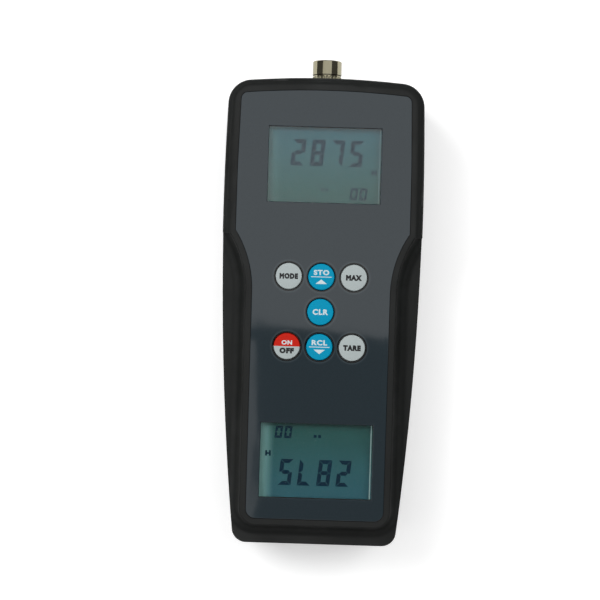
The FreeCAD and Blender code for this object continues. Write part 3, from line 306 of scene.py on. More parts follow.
def sleeve_material():
    """Blue gloss film with a pale band round the middle of each cell."""
    material, tree, place = start_material("cell_shrink_sleeve")
    along = add(tree, "ShaderNodeSeparateXYZ", {"Vector": place}).outputs["Y"]
    off_band = add(tree, "ShaderNodeMath", {0: along, 1: BAND_MIDDLE * MM}, operation="SUBTRACT")
    away = add(tree, "ShaderNodeMath", {0: off_band.outputs[0]}, operation="ABSOLUTE")
    on_band = add(tree, "ShaderNodeMath", {0: away.outputs[0], 1: BAND_HALF * MM},
                  operation="LESS_THAN")
    tone = add(tree, "ShaderNodeMix", {0: on_band.outputs[0], MIX_A: linear(SLEEVE_BLUE),
                                       MIX_B: linear(BAND_PALE)}, data_type="RGBA")
    wrinkle = add(tree, "ShaderNodeTexNoise", {"Vector": place, "Scale": 1 / (2.5 * MM)})
    relief = add(tree, "ShaderNodeBump", {"Height": wrinkle.outputs["Fac"], "Strength": 0.2,
                                          "Distance": 0.05 * MM})
    sleeve = add(tree, "ShaderNodeBsdfPrincipled",
                 {"Base Color": tone.outputs[MIXED], "Roughness": 0.25,
                  "Normal": relief.outputs["Normal"]})
    show(tree, sleeve.outputs["BSDF"])
    return material


nickel = metal("nickel_plated_steel", "C6C3BA", "9A958A", 0.22, 1.5)
dress("batteries", sleeve_material())
dress("battery_plates", nickel)
dress("battery_springs", nickel)


# Main board: glass-epoxy laminate under green solder mask, held by four screws to posts in the
# front cover. Tracks show through the mask as lighter lines at a pitch of about 1.2 mm.
# The chips are dull moulded epoxy, the leads soft vinyl and the switches plain moulded nylon.

MASK_GREEN, MASK_DEEP, TRACK_GREEN, TRACK_CELL = "1B5A33", "174E2C", "2C7A48", 2.4


def board_material():
    """Solder mask over tracks, which raise it a little."""
    material, tree, place = start_material("green_solder_mask")
    tracks = add(tree, "ShaderNodeTexBrick",
                 {"Vector": place, "Color1": linear(MASK_GREEN), "Color2": linear(MASK_DEEP),
                  "Mortar": linear(TRACK_GREEN), "Scale": 1 / (TRACK_CELL * MM),
                  "Mortar Size": 0.04})
    mask = add(tree, "ShaderNodeTexNoise", {"Vector": place, "Scale": 1 / (6 * MM)})
    gloss = add(tree, "ShaderNodeMapRange", {"Value": mask.outputs["Fac"], "To Min": 0.22,
                                             "To Max": 0.4})
    relief = add(tree, "ShaderNodeBump", {"Height": tracks.outputs["Fac"], "Strength": 0.3,
                                          "Distance": 0.03 * MM})
    board = add(tree, "ShaderNodeBsdfPrincipled",
                {"Base Color": tracks.outputs["Color"], "Roughness": gloss.outputs["Result"],
                 "Normal": relief.outputs["Normal"], "IOR": 1.5})
    show(tree, board.outputs["BSDF"])
    return material


dress("main_board", board_material())
dress("board_chips", moulded("moulded_epoxy", "1B1B1D", "262628", 0.55, 0.2, 0.01))
dress("board_screws", zinc)
dress("sensor_wires", moulded("insulated_lead", "A42A1F", "B8382B", 0.42, 1.5, 0.02))
dress("switch_bodies", moulded("nylon_switch_body", "232424", "2E2F2F", 0.5, 0.3, 0.01))
plunger_nylon = moulded("nylon_plunger", "3A3B3B", "454646", 0.45, 0.3, 0.01)


# Displays: a liquid crystal glass over a light guide in a moulded holder, joined to the board by
# striped rubber strips. The glass is grey green, bluer towards the ends of the gauge, with the
# sparkle of its reflector. Light is painted into its colour too: a painted glow at its left end,
# strongest on the lower display, and a painted glint, a bright line, near its right end.
# The strips' layers are drawn at a pitch of 1 mm, coarser than the real ones, so that they show.

# the glass's own green and blue, then a painted glow colour for the light at its left end
DISPLAY_GREEN, DISPLAY_BLUE, PAINTED_GLOW = "1C413F", "234B56", "6A8E8C"
# a painted glint colour for the bright line near the glass's right edge, then the flecks' colour
GLINT_PALE, SPARKLE_PALE, SPARKLE = "8DA2A2", "6F8C8A", 0.35
BLUE_STARTS, BLUE_FULL = 48, 74  # how far from the gauge's middle the glass turns blue
GLOW_FADE, UPPER_GLOW = 40, 0.25  # full this far below the middle, and a share this far above
# where the painted glow is full and where it ends, then where the painted glint line lies and its
# half width
GLOW_EDGE, GLOW_END, PAINTED_GLINT_X, GLINT_HALF = -22.6, -16.5, 21.9, 0.22
LAYER_CELL = 3.2


def display_material():
    """The glass's own colour, then a painted glow at its left and a painted glint line at its
    right, then the reflector's flecks.
    """
    material, tree, place = start_material("reflective_display_glass")
    parts = add(tree, "ShaderNodeSeparateXYZ", {"Vector": place})
    outward = add(tree, "ShaderNodeMath", {0: parts.outputs["Y"]}, operation="ABSOLUTE")
    hue = add(tree, "ShaderNodeMapRange",
              {"Value": outward.outputs[0], "From Min": BLUE_STARTS * MM,
               "From Max": BLUE_FULL * MM})
    base = add(tree, "ShaderNodeMix", {0: hue.outputs["Result"], MIX_A: linear(DISPLAY_GREEN),
                                       MIX_B: linear(DISPLAY_BLUE)}, data_type="RGBA")
    # a painted glow: a lighter strip at the left end, full on the lower display and faint on the
    # upper
    power = add(tree, "ShaderNodeMapRange",
                {"Value": parts.outputs["Y"], "From Min": -GLOW_FADE * MM,
                 "From Max": GLOW_FADE * MM, "To Min": 1.0, "To Max": UPPER_GLOW})
    glow = add(tree, "ShaderNodeMapRange", {"Value": parts.outputs["X"],
                                            "From Min": GLOW_EDGE * MM, "From Max": GLOW_END * MM,
                                            "To Min": power.outputs["Result"], "To Max": 0.0},
               interpolation_type="SMOOTHSTEP")
    lit = add(tree, "ShaderNodeMix", {0: glow.outputs["Result"], MIX_A: base.outputs[MIXED],
                                      MIX_B: linear(PAINTED_GLOW)}, data_type="RGBA")
    # a painted glint: a bright line near the right edge, stronger on the lower display
    off_line = add(tree, "ShaderNodeMath", {0: parts.outputs["X"], 1: PAINTED_GLINT_X * MM},
                   operation="SUBTRACT")
    from_line = add(tree, "ShaderNodeMath", {0: off_line.outputs[0]}, operation="ABSOLUTE")
    on_line = add(tree, "ShaderNodeMath", {0: from_line.outputs[0], 1: GLINT_HALF * MM},
                  operation="LESS_THAN")
    line = add(tree, "ShaderNodeMath", {0: on_line.outputs[0], 1: power.outputs["Result"]},
               operation="MULTIPLY")
    edged = add(tree, "ShaderNodeMix", {0: line.outputs[0], MIX_A: lit.outputs[MIXED],
                                        MIX_B: linear(GLINT_PALE)}, data_type="RGBA")
    sparkle = add(tree, "ShaderNodeTexNoise", {"Vector": place, "Scale": 1 / (SPARKLE * MM)})
    fleck = add(tree, "ShaderNodeMapRange", {"Value": sparkle.outputs["Fac"], "From Min": 0.4,
                                             "From Max": 0.8, "To Max": 0.1})
    tone = add(tree, "ShaderNodeMix", {0: fleck.outputs["Result"], MIX_A: edged.outputs[MIXED],
                                       MIX_B: linear(SPARKLE_PALE)}, data_type="RGBA")
    glass = add(tree, "ShaderNodeBsdfPrincipled",
                {"Base Color": tone.outputs[MIXED], "Roughness": 0.4, "IOR": 1.5,
                 "Specular IOR Level": 0.1})
    show(tree, glass.outputs["BSDF"])
    return material


def rubber_strip_material():
    """Dull silicone in black and pink layers."""
    material, tree, place = start_material("layered_conductive_silicone")
    layers = add(tree, "ShaderNodeTexWave", {"Vector": place, "Scale": 1 / (LAYER_CELL * MM)},
                 bands_direction="X")
    tone = add(tree, "ShaderNodeMix", {0: layers.outputs["Fac"], MIX_A: linear("1A1A1A"),
                                       MIX_B: linear("C98C84")}, data_type="RGBA")
    rubber = add(tree, "ShaderNodeBsdfPrincipled", {"Base Color": tone.outputs[MIXED],
                                                    "Roughness": 0.7})
    show(tree, rubber.outputs["BSDF"])
    return material


display_glass = display_material()
light_guide = moulded("milky_light_guide", "DDE2E2", "E6EAEA", 0.3, 2.0, 0.01)
strip_rubber = rubber_strip_material()
holder_plastic = moulded("pale_holder_plastic", "B9BAB4", "C6C7C2", 0.5, 0.4, 0.01)
for end in ("upper", "lower"):
    dress(end + "_display_glass", display_glass)
    dress(end + "_backlight", light_guide)
    dress(end + "_contact_strips", strip_rubber)
    dress(end + "_display_frame", holder_plastic)


# Display segments: the dark liquid crystal areas of one reading on each glass. They lie on the
# glass as thin plates, matt and dark navy, a little cloudy as a switched crystal is.
# The lower display shows the same reading turned round, for use the other way up.

GLASS_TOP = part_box("upper_display_glass")[1].z / MM
SEGMENT_LIFT, SEGMENT_THICK, SEGMENT_GAP = 0.02, 0.03, 0.06  # the gap is a share of the stroke
LEAN = math.tan(math.radians(6))
DIGIT_TALL, DIGIT_WIDE, STROKE, DIGIT_PITCH = 10.5, 5.2, 1.6, 7.75
SMALL_TALL, SMALL_WIDE, SMALL_STROKE, SMALL_PITCH = 4.9, 2.9, 0.95, 3.8
DIGITS_LEFT, DIGITS_FOOT, SMALL_LEFT, SMALL_FOOT = -13.8, 58.9, 10.3, 45.6
MARK_LEFT, MARK_FOOT, MARK_PITCH, MARK_WIDE = -1.2, 48.9, 1.8, 1.15
UNIT_LEFT, UNIT_FOOT, UNIT_PITCH, UNIT_POST, UNIT_TALL = 18.8, 55.6, 1.5, 0.75, 2.2
UNIT_BAR = (19.5, 56.4, 0.85, 0.7)
LOWER_SHIFT = 0.6
READING = "2875"
# The segments of each figure: top, upper left, upper right, middle, lower left, lower right and
# bottom.
FIGURES = {"0": "1110111", "2": "1011101", "5": "1101011", "7": "1010010", "8": "1111111"}


def polygon(shape, corners):
    """A flat outline from its corners, in mm."""
    shape.faces.new([shape.verts.new((u * MM, v * MM, 0)) for u, v in corners])


def figure(shape, digit, x, y, wide, tall, stroke):
    """One seven-segment figure with mitred corners, its foot at x and y, leaning to the right."""
    gap, half = SEGMENT_GAP * stroke, tall / 2
    inner = gap + stroke
    edge = [(gap, 0), (wide - gap, 0), (wide - inner, stroke), (inner, stroke)]
    post = [(0, gap), (stroke, inner), (stroke, half - gap - stroke / 2), (stroke / 2, half - gap),
            (0, half - gap)]
    beam = [(inner - stroke / 2, half), (inner, half + stroke / 2),
            (wide - inner, half + stroke / 2), (wide - inner + stroke / 2, half),
            (wide - inner, half - stroke / 2), (inner, half - stroke / 2)]
    places = [(edge, False, True), (post, False, True), (post, True, True), (beam, False, False),
              (post, False, False), (post, True, False), (edge, False, False)]
    for on, (outline, across, over) in zip(FIGURES[digit], places):
        if on == "1":
            turned = [(wide - u if across else u, tall - v if over else v) for u, v in outline]
            polygon(shape, [(x + u + v * LEAN, y + v) for u, v in turned])


def bar(shape, x, y, wide, tall):
    """A flat upright rectangle, its lower left corner at x and y."""
    polygon(shape, [(x, y), (x + wide, y), (x + wide, y + tall), (x, y + tall)])


def thicken(shape, thick):
    """Gives flat outlines a thickness upwards, in mm."""
    bmesh.ops.recalc_face_normals(shape, faces=shape.faces)
    raised = bmesh.ops.extrude_face_region(shape, geom=list(shape.faces))["geom"]
    upper = [v for v in raised if isinstance(v, bmesh.types.BMVert)]
    bmesh.ops.translate(shape, verts=upper, vec=(0, 0, thick * MM))
    bmesh.ops.recalc_face_normals(shape, faces=shape.faces)


def reading(name, turn, shift, material):
    """The large figures, a small 00, two square marks and the unit mark, turned in place."""
    shape = bmesh.new()
    for k, digit in enumerate(READING):
        figure(shape, digit, DIGITS_LEFT + DIGIT_PITCH * k, DIGITS_FOOT, DIGIT_WIDE, DIGIT_TALL,
               STROKE)
    for k in range(2):
        figure(shape, "0", SMALL_LEFT + SMALL_PITCH * k, SMALL_FOOT, SMALL_WIDE, SMALL_TALL,
               SMALL_STROKE)
        bar(shape, MARK_LEFT + MARK_PITCH * k, MARK_FOOT, MARK_WIDE, MARK_WIDE)
        bar(shape, UNIT_LEFT + UNIT_PITCH * k, UNIT_FOOT, UNIT_POST, UNIT_TALL)
    bar(shape, *UNIT_BAR)
    thicken(shape, SEGMENT_THICK)
    place = Matrix.Translation((shift * MM, 0, (GLASS_TOP + SEGMENT_LIFT) * MM))
    bmesh.ops.transform(shape, matrix=place @ Matrix.Rotation(turn, 4, "Z"), verts=shape.verts)
    make_piece(name, shape, material, "housing", CRISP_PRINT)


def crystal_material():
    """Matt navy without a highlight, because the crystal lies inside the glass."""
    material, tree, place = start_material("switched_liquid_crystal")
    cloud = add(tree, "ShaderNodeTexNoise", {"Vector": place, "Scale": 1 / (4 * MM)})
    tone = add(tree, "ShaderNodeMix", {0: cloud.outputs["Fac"], MIX_A: linear("031A28"),
                                       MIX_B: linear("072333")}, data_type="RGBA")
    crystal = add(tree, "ShaderNodeBsdfPrincipled",
                  {"Base Color": tone.outputs[MIXED], "Roughness": 0.6,
                   "Specular IOR Level": 0.0})
    show(tree, crystal.outputs["BSDF"])
    return material


navy_crystal = crystal_material()
reading("upper_reading", 0.0, 0.0, navy_crystal)
reading("lower_reading", math.pi, LOWER_SHIFT, navy_crystal)


# Front cover: the face half of the case, black ABS like the rear one, with the grip scoop round
# its foot and sides. It is one moulding, and the recess in its face takes the film.

moulding("front_shell", "front_cover", case_abs, "housing", seam=True)


# Lenses: two clear acrylic windows, dropped into seats in the cover under the film's edge.
# They are polished, so they mirror the room sharply and let the display's colour through.


def acrylic_material():
    """Clear acrylic with a trace of haze, which lets the light through to the display."""
    material, tree, place = start_material("clear_acrylic")
    dust = add(tree, "ShaderNodeTexNoise", {"Vector": place, "Scale": 1 / (8 * MM),
                                            "Detail": 6.0})
    haze = add(tree, "ShaderNodeMapRange", {"Value": dust.outputs["Fac"], "To Min": 0.0,
                                            "To Max": 0.01})
    acrylic = add(tree, "ShaderNodeBsdfPrincipled",
                  {"Base Color": linear("F2F7F6"), "Transmission Weight": 1.0, "IOR": 1.49,
                   "Roughness": haze.outputs["Result"]})
    through = add(tree, "ShaderNodeBsdfTransparent", {"Color": linear("F2F7F6")})
    shadow = add(tree, "ShaderNodeLightPath").outputs["Is Shadow Ray"]
    mixed = add(tree, "ShaderNodeMixShader", {0: shadow, 1: acrylic.outputs["BSDF"],
                                              2: through.outputs["BSDF"]})
    show(tree, mixed.outputs["Shader"])
    return material


acrylic = acrylic_material()
for end in ("upper", "lower"):
    dress(end + "_lens", acrylic)


# Face film: polycarbonate printed graphite grey on its back, die-cut and stuck into the recess of
# the front cover. Its hard coat is glossy and lies in faint waves, so the lamp above ends in a
# soft edge across it, and its cut edges catch the light. Round each key the film is black, and
# round that a paler ring is a painted highlight, as if an embossed rim there caught the light.

KEYS = ("unit", "save", "peak", "delete", "power", "read", "tare")
# the black ring round each key, the painted highlight beyond it and the rounding of the film's
# edge, in mm
RING_RADIUS, HIGHLIGHT_RADIUS, FILM_EDGE = 6.05, 7.0, 0.22
# the third colour is a painted highlight, a paler ring round each key
GRAPHITE, GRAPHITE_PALE, EMBOSS_HIGHLIGHT_GREY, RING_BLACK = "1F292E", "252F35", "343E43", "090B0D"
WAVE_LONG, WAVE_HIGH = 18, 0.1


def key_centre(name):
    """The middle of a key, in mm."""
    low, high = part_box("key_cap_" + name)
    return (low + high) / 2 / MM


def film_material():
    """Graphite print, a black ring and a painted highlight round each key, under a glossy coat."""
    material, tree, place = start_material("printed_polycarbonate_film")
    nearest = None
    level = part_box("front_overlay")[1].z
    for key in KEYS:
        centre = key_centre(key) * MM
        away = add(tree, "ShaderNodeVectorMath", {0: place, 1: (centre.x, centre.y, level)},
                   operation="DISTANCE").outputs["Value"]
        if nearest:
            away = add(tree, "ShaderNodeMath", {0: nearest, 1: away},
                       operation="MINIMUM").outputs[0]
        nearest = away
    ink = add(tree, "ShaderNodeTexNoise", {"Vector": place, "Scale": 1 / (0.5 * MM)})
    tone = add(tree, "ShaderNodeMix", {0: ink.outputs["Fac"], MIX_A: linear(GRAPHITE),
                                       MIX_B: linear(GRAPHITE_PALE)}, data_type="RGBA")
    # a painted highlight: a paler ring round each key, where an embossed rim would catch the light
    painted_highlight = add(tree, "ShaderNodeMapRange", {"Value": nearest, "From Min": RING_RADIUS * MM,
                                            "From Max": HIGHLIGHT_RADIUS * MM, "To Min": 1.0,
                                            "To Max": 0.0}, interpolation_type="SMOOTHSTEP")
    highlighted = add(tree, "ShaderNodeMix", {0: painted_highlight.outputs["Result"], MIX_A: tone.outputs[MIXED],
                                         MIX_B: linear(EMBOSS_HIGHLIGHT_GREY)}, data_type="RGBA")
    ring = add(tree, "ShaderNodeMath", {0: nearest, 1: RING_RADIUS * MM}, operation="LESS_THAN")
    printed = add(tree, "ShaderNodeMix", {0: ring.outputs[0], MIX_A: highlighted.outputs[MIXED],
                                          MIX_B: linear(RING_BLACK)}, data_type="RGBA")
    waves = add(tree, "ShaderNodeTexNoise", {"Vector": place, "Scale": 1 / (WAVE_LONG * MM),
                                             "Detail": 1.0})
    relief = add(tree, "ShaderNodeBump", {"Height": waves.outputs["Fac"], "Strength": 0.5,
                                          "Distance": WAVE_HIGH * MM})
    film = add(tree, "ShaderNodeBsdfPrincipled",
               {"Base Color": printed.outputs[MIXED], "Roughness": 0.045, "IOR": 1.58,
                "Normal": relief.outputs["Normal"]})
    show(tree, film.outputs["BSDF"])
    return material


film_shape = merged("front_overlay")
bmesh.ops.dissolve_limit(film_shape, angle_limit=math.radians(1), verts=film_shape.verts,
                         edges=film_shape.edges)
film_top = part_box("front_overlay")[1].z - SAME_POINT * MM
rims = [e for e in film_shape.edges
        if e.calc_face_angle(0.0) > CORNER and min(v.co.z for v in e.verts) > film_top]
round_off(film_shape, rims, FILM_EDGE)
film_piece = make_piece("face_film", film_shape, film_material(), "housing")
even_flats(film_piece)
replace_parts(film_piece, "front_overlay")


# Keys: moulded caps with a flange under the face, printed on top, over tact switches.
# Three are white, three blue and one is printed half red, half white. The print is a little
# raised, and each cap's top edge is rounded where the mould's halves meet.

STEM_FOOT, KEY_TOP = (corner.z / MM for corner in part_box("key_cap_unit"))
FLANGE_TOP, FLANGE_FOOT = 35.0, 34.0
CAP_RADIUS, FLANGE_RADIUS, STEM_RADIUS, CAP_EDGE = 5.2, 6.15, 1.8, 0.35
WHITE, BLUE, RED, SOIL = "ABB4B4", "008FB4", "BE2010", "3A4448"
BLACK_INK, WHITE_INK = "0C0E10", "C6D2D6"
RED_FROM = -13.4  # the power key is red above this height and white below it
PRINT_THICK, LETTER_SPACE, WHITE_BOLD, BLACK_BOLD = 0.03, 1.1, 0.045, 0.085
CAP_SIDES = 72
# Each key's word: its text, how far its middle lies above the key's, its letter height and length.
WORDS = {"unit": ("MODE", 0, 2.3, 7.4), "peak": ("MAX", 0, 2.3, 6.4),
         "tare": ("TARE", 0, 2.3, 7.1), "delete": ("CLR", 0, 2.3, 6.2),
         "save": ("STO", 1.75, 2.1, 6.2), "read": ("RCL", 1.75, 2.1, 6.2),
         "power": ("ON", 1.5, 1.8, 4.2)}
OFF_WORD = ("OFF", -1.75, 2.3, 5.8)
ARROWS = {"save": (-2.8, -1.0), "read": (-1.0, -2.8)}  # how high an arrow's foot and tip lie
ARROW_HALF, LINE_LONG, LINE_TALL = 2.3, 8.2, 0.3


def key_material(name, colour, second=None, split=0.0):
    """Key plastic, gloss with a little orange peel; second is the colour below split, in mm."""
    material, tree, place = start_material(name)
    peel = add(tree, "ShaderNodeTexNoise", {"Vector": place, "Scale": 1 / (1.4 * MM)})
    soil = add(tree, "ShaderNodeTexNoise", {"Vector": place, "Scale": 1 / (5 * MM),
                                            "Detail": 4.0})
    first = linear(colour)
    if second:
        along = add(tree, "ShaderNodeSeparateXYZ", {"Vector": place}).outputs["Y"]
        above = add(tree, "ShaderNodeMath", {0: along, 1: split * MM}, operation="GREATER_THAN")
        first = add(tree, "ShaderNodeMix", {0: above.outputs[0], MIX_A: linear(second),
                                            MIX_B: first}, data_type="RGBA").outputs[MIXED]
    amount = add(tree, "ShaderNodeMapRange", {"Value": soil.outputs["Fac"], "To Max": 0.1})
    tone = add(tree, "ShaderNodeMix", {0: amount.outputs["Result"], MIX_A: first,
                                       MIX_B: linear(SOIL)}, data_type="RGBA")
    relief = add(tree, "ShaderNodeBump", {"Height": peel.outputs["Fac"], "Strength": 0.2,
                                          "Distance": 0.02 * MM})
    plastic = add(tree, "ShaderNodeBsdfPrincipled",
                  {"Base Color": tone.outputs[MIXED], "Roughness": 0.42, "IOR": 1.5,
                   "Normal": relief.outputs["Normal"], "Specular IOR Level": 0.08})
    show(tree, plastic.outputs["BSDF"])
    return material


def ink_material(name, colour):
    """Pad-printed ink, half matt and slightly grainy."""
    material, tree, place = start_material(name)
    grain = add(tree, "ShaderNodeTexNoise", {"Vector": place, "Scale": 1 / (0.3 * MM)})
    gloss = add(tree, "ShaderNodeMapRange", {"Value": grain.outputs["Fac"], "To Min": 0.3,
                                             "To Max": 0.5})
    ink = add(tree, "ShaderNodeBsdfPrincipled", {"Base Color": linear(colour),
                                                 "Roughness": gloss.outputs["Result"]})
    show(tree, ink.outputs["BSDF"])
    return material


def word(shape, text, middle, tall, wide, bold):
    """A printed word, its middle at a height on the key, with its letter height and length."""
    letters = bpy.data.curves.new(text, "FONT")
    letters.body = text
    letters.bevel_depth = bold
    letters.space_character = LETTER_SPACE + bold
    letters.resolution_u, letters.bevel_resolution = 3, 0
    holder = bpy.data.objects.new(text, letters)
    bpy.context.scene.collection.objects.link(holder)
    bpy.context.view_layer.update()
    solid = bpy.data.meshes.new_from_object(holder)
    bpy.data.objects.remove(holder)
    low, high = [Vector([pick(v.co[axis] for v in solid.vertices) for axis in range(3)])
                 for pick in (min, max)]
    size = high - low
    stretch = Matrix.Diagonal((wide * MM / size.x, tall * MM / size.y, PRINT_THICK * MM / size.z,
                               1.0))
    centre = Matrix.Translation((-(low.x + high.x) / 2, -(low.y + high.y) / 2, -low.z))
    solid.transform(Matrix.Translation((0, middle * MM, 0)) @ stretch @ centre)
    shape.from_mesh(solid)
    bpy.data.meshes.remove(solid)


def printing(name, shape, x, y, material, body):
    """Print set on the top of a key."""
    bmesh.ops.remove_doubles(shape, verts=shape.verts, dist=SAME_POINT * MM)
    bmesh.ops.translate(shape, verts=shape.verts,
                        vec=Vector((x, y, KEY_TOP - PRINT_THICK)) * MM)
    make_piece(name, shape, material, body, CRISP_PRINT)


def rounding(radius, height, edge):
    """The profile of a rounded outer edge, from the side up to the top, in mm."""
    return [(radius - edge + edge * math.cos(a), height - edge + edge * math.sin(a))
            for a in (math.radians(18 * k) for k in range(6))]


def cap(name, x, y, material):
    """A key cap: stem, flange and round button, spun about its own middle."""
    top = KEY_TOP - PRINT_THICK / 2
    profile = [(0, STEM_FOOT), (STEM_RADIUS, STEM_FOOT), (STEM_RADIUS, FLANGE_FOOT),
               (FLANGE_RADIUS, FLANGE_FOOT), (FLANGE_RADIUS, FLANGE_TOP),
               (CAP_RADIUS, FLANGE_TOP), *rounding(CAP_RADIUS, top, CAP_EDGE), (0, top)]
    shape = bmesh.new()
    lathe(shape, profile, (x, y, 0), CAP_SIDES)
    bmesh.ops.recalc_face_normals(shape, faces=shape.faces)
    piece = make_piece("cap_" + name, shape, material, "key_" + name)
    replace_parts(piece, "key_cap_" + name)


white_key = key_material("white_key_plastic", WHITE)
blue_key = key_material("blue_key_plastic", BLUE)
black_ink = ink_material("black_pad_print", BLACK_INK)
white_ink = ink_material("white_pad_print", WHITE_INK)
power_key = key_material("red_and_white_key_plastic", RED, WHITE, RED_FROM)
FINISH = {"unit": white_key, "save": blue_key, "peak": white_key, "delete": blue_key,
          "power": power_key, "read": blue_key, "tare": white_key}
for name in KEYS:
    finish, middle = FINISH[name], key_centre(name)
    cap(name, middle.x, middle.y, finish)
    dress("key_plunger_" + name, plunger_nylon)
    print_shape = bmesh.new()
    ink, bold = (black_ink, BLACK_BOLD) if finish is white_key else (white_ink, WHITE_BOLD)
    if name in ARROWS:
        foot, tip = ARROWS[name]
        bar(print_shape, -LINE_LONG / 2, -LINE_TALL / 2, LINE_LONG, LINE_TALL)
        polygon(print_shape, [(-ARROW_HALF, foot), (ARROW_HALF, foot), (0, tip)])
        thicken(print_shape, PRINT_THICK)
    word(print_shape, *WORDS[name], bold)
    if name == "power":
        off = bmesh.new()
        word(off, *OFF_WORD, BLACK_BOLD)
        printing("print_off", off, middle.x, middle.y, black_ink, "key_power")
    printing("print_" + name, print_shape, middle.x, middle.y, ink, "key_" + name)


# Load-cell socket: a turned brass shell with bright nickel plating, a rounded mouth and a ring of
# rounded scallops at its foot. Inside are a black insulator and four gilt contacts.
# Plating mirrors its surroundings in bands along the shell, a little yellow from the brass.

SHELL_LONG, SOCKET_BORE, NECK_RADIUS = 8.55, 4.8, 5.35
SCALLOPS, SCALLOP_LONG, SCALLOP_RADIUS = 24, 2.6, 0.66
MOUTH_EDGE, BORE_CHAMFER, SHOULDER, SHELL_SIDES = 0.4, 0.2, 0.3, 96

plating = metal("bright_nickel_plating", "A9A48F", "858066", 0.1, 3.0, streak=0.15)
socket_low, socket_high = (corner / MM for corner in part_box("socket_shell"))
socket_level = (socket_low.z + socket_high.z) / 2
socket_mouth, socket_radius = socket_high.y, socket_high.x
socket_foot = socket_mouth - SHELL_LONG
forward = Matrix.Rotation(math.radians(-90), 4, "X")
groove, ring_end = socket_radius - SCALLOP_RADIUS / 2, socket_foot + SCALLOP_LONG
shell_profile = [(SOCKET_BORE, socket_low.y), (NECK_RADIUS, socket_low.y),
                 (NECK_RADIUS, socket_foot), (groove, socket_foot), (groove, ring_end),
                 (socket_radius, ring_end + SHOULDER),
                 *rounding(socket_radius, socket_mouth, MOUTH_EDGE),
                 (SOCKET_BORE + BORE_CHAMFER, socket_mouth),
                 (SOCKET_BORE, socket_mouth - BORE_CHAMFER), (SOCKET_BORE, socket_low.y)]
shell = bmesh.new()
lathe(shell, shell_profile, (0, 0, socket_level), SHELL_SIDES, forward)
bmesh.ops.recalc_face_normals(shell, faces=shell.faces)
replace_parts(make_piece("socket_barrel", shell, plating, "housing"), "socket_shell")

ring = bmesh.new()
for k in range(SCALLOPS):
    before = set(ring.verts)
    bmesh.ops.create_uvsphere(ring, u_segments=12, v_segments=8, radius=SCALLOP_RADIUS * MM)
    fresh = [v for v in ring.verts if v not in before]
    longer = Matrix.Diagonal((1.0, 1.0, SCALLOP_LONG / 2 / SCALLOP_RADIUS, 1.0))
    out = Matrix.Translation(((socket_radius - SCALLOP_RADIUS) * MM, 0,
                              (socket_foot + SCALLOP_LONG / 2) * MM))
    turn = Matrix.Rotation(math.tau * k / SCALLOPS, 4, "Z")
    lift = Matrix.Translation((0, 0, socket_level * MM))
    bmesh.ops.transform(ring, verts=fresh, matrix=lift @ forward @ turn @ out @ longer)
make_piece("socket_knurl", ring, plating, "housing")

dress("socket_insulator", moulded("black_thermoset", "1A1A1A", "242424", 0.4, 0.4, 0.01))
dress("socket_contacts", metal("gold_plated_contact", "E3BC63", "B58F3F", 0.2, 1.0))
dress("socket_washer", plating)
dress("socket_nut", plating)


# Stage: a plain pale floor that is white to the eye and keeps the gauge's shadow. A broad lamp
# hangs above the upper half, with a faint one beside its near edge. The side fills don't show in
# reflections, a low lamp at the left picks out the crest, and one over the foot lights the end.

FLOOR_HALF, FLOOR_DROP = 20.0, 0.02  # half the floor in metres, and its gap below the gauge in mm
NEAR_GLOW, FAR_GLOW, GLOW_FROM, GLOW_TO = 0.35, 1.0, 0.4, 1.5  # strengths, and metres away
SKY = 0.12


def floor_material():
    """Matt and pale, with a glow that only the eye and reflections see, fainter near the gauge."""
    material, tree, place = start_material("pale_floor")
    matte = add(tree, "ShaderNodeBsdfDiffuse", {"Color": linear("F4F4F4")})
    away = add(tree, "ShaderNodeVectorMath", {0: place}, operation="LENGTH")
    strength = add(tree, "ShaderNodeMapRange",
                   {"Value": away.outputs["Value"], "From Min": GLOW_FROM, "From Max": GLOW_TO,
                    "To Min": NEAR_GLOW, "To Max": FAR_GLOW})
    glow = add(tree, "ShaderNodeEmission", {"Color": linear("FFFFFF"),
                                            "Strength": strength.outputs["Result"]})
    both = add(tree, "ShaderNodeAddShader", {0: matte.outputs["BSDF"], 1: glow.outputs[0]})
    path = add(tree, "ShaderNodeLightPath")
    seen = add(tree, "ShaderNodeMath", {0: path.outputs["Is Camera Ray"],
                                        1: path.outputs["Is Glossy Ray"]}, operation="MAXIMUM")
    seen_or_through = add(tree, "ShaderNodeMath",
                          {0: seen.outputs[0], 1: path.outputs["Is Transmission Ray"]},
                          operation="MAXIMUM")
    mixed = add(tree, "ShaderNodeMixShader", {0: seen_or_through.outputs[0],
                                              1: matte.outputs["BSDF"], 2: both.outputs[0]})
    show(tree, mixed.outputs["Shader"])
    return material


floor_shape = bmesh.new()
bmesh.ops.create_grid(floor_shape, x_segments=1, y_segments=1, size=FLOOR_HALF)
bmesh.ops.translate(floor_shape, verts=floor_shape.verts, vec=(0, 0, -FLOOR_DROP * MM))
floor_mesh = bpy.data.meshes.new("floor")
floor_shape.to_mesh(floor_mesh)
floor_shape.free()
floor_mesh.materials.append(floor_material())
floor = bpy.data.objects.new("floor", floor_mesh)
bpy.context.scene.collection.objects.link(floor)

world = bpy.data.worlds.new("studio")
bpy.context.scene.world = world
world.use_nodes = True
world.node_tree.nodes.clear()
sky = add(world.node_tree, "ShaderNodeBackground", {"Color": linear("FFFFFF"), "Strength": SKY})
add(world.node_tree, "ShaderNodeOutputWorld", {"Surface": sky.outputs[0]})


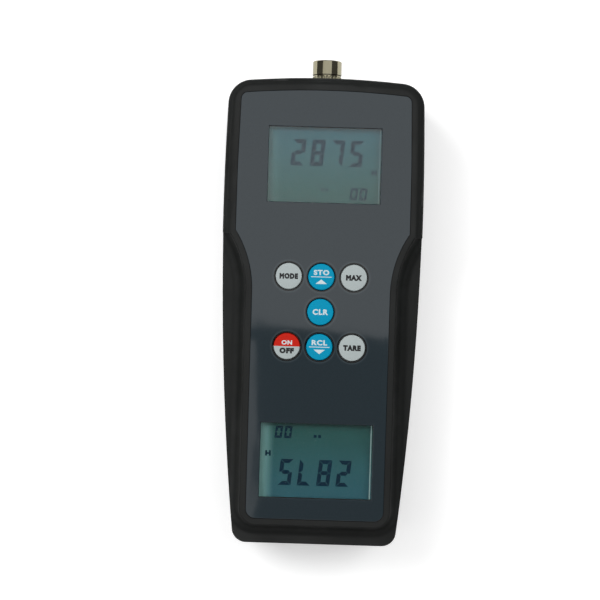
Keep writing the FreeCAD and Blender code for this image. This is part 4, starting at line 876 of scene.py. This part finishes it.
def lamp(name, place, target, wide, tall, power, turn=0.0, mirrored=True):
    """A soft rectangular lamp at place, facing target, in metres and watts.

    turn is its turn in its own plane, and mirrored says whether it shows in reflections.
    """
    light = bpy.data.lights.new(name, "AREA")
    light.shape = "RECTANGLE"
    light.size, light.size_y = wide, tall
    light.energy = power
    holder = bpy.data.objects.new(name, light)
    bpy.context.scene.collection.objects.link(holder)
    aim = (Vector(target) - Vector(place)).to_track_quat("-Z", "Y").to_matrix().to_4x4()
    spin = Matrix.Rotation(math.radians(turn), 4, "Z")
    holder.matrix_world = Matrix.Translation(place) @ aim @ spin
    holder.visible_glossy = mirrored


lamp("lamp_above", (0.0, 0.432, 0.95), (0.0, 0.432, 0.0), 1.3, 0.95, 3.5, -4.6)
lamp("lamp_edge", (-0.33, -0.18, 0.95), (-0.33, -0.18, 0.0), 0.54, 0.25, 0.27)
lamp("lamp_left", (-0.7, 0.5, 0.85), (0.0, 0.0, 0.0), 0.6, 0.6, 7.6, mirrored=False)
lamp("lamp_right", (0.7, 0.4, 0.85), (0.0, 0.0, 0.0), 0.6, 0.6, 4.6, mirrored=False)
lamp("lamp_crest", (-0.8, -0.22, 0.34), (0.0, -0.02, 0.03), 0.6, 0.36, 1.1)
lamp("lamp_foot", (0.0, -0.52, 0.95), (0.0, -0.52, 0.0), 0.9, 0.42, 1.2)


# Camera: straight above the middle of the face, at the photograph's distance, and turned by the
# 1.7 degrees by which the gauge lies askew there.

CAMERA_PLACE = (-0.0039, 0.0161, 0.5922)
CAMERA_TURN = [math.radians(a) for a in (-1.117, 0.483, 1.696)]
LENS, SENSOR, NEAREST = 83.4, 36.0, 0.01

camera_data = bpy.data.cameras.new("camera")
camera_data.lens = LENS
camera_data.sensor_width = SENSOR
camera_data.clip_start = NEAREST
camera = bpy.data.objects.new("camera", camera_data)
bpy.context.scene.collection.objects.link(camera)
camera.location = CAMERA_PLACE
camera.rotation_euler = CAMERA_TURN
bpy.context.scene.camera = camera
bpy.context.scene.view_settings.view_transform = "Standard"
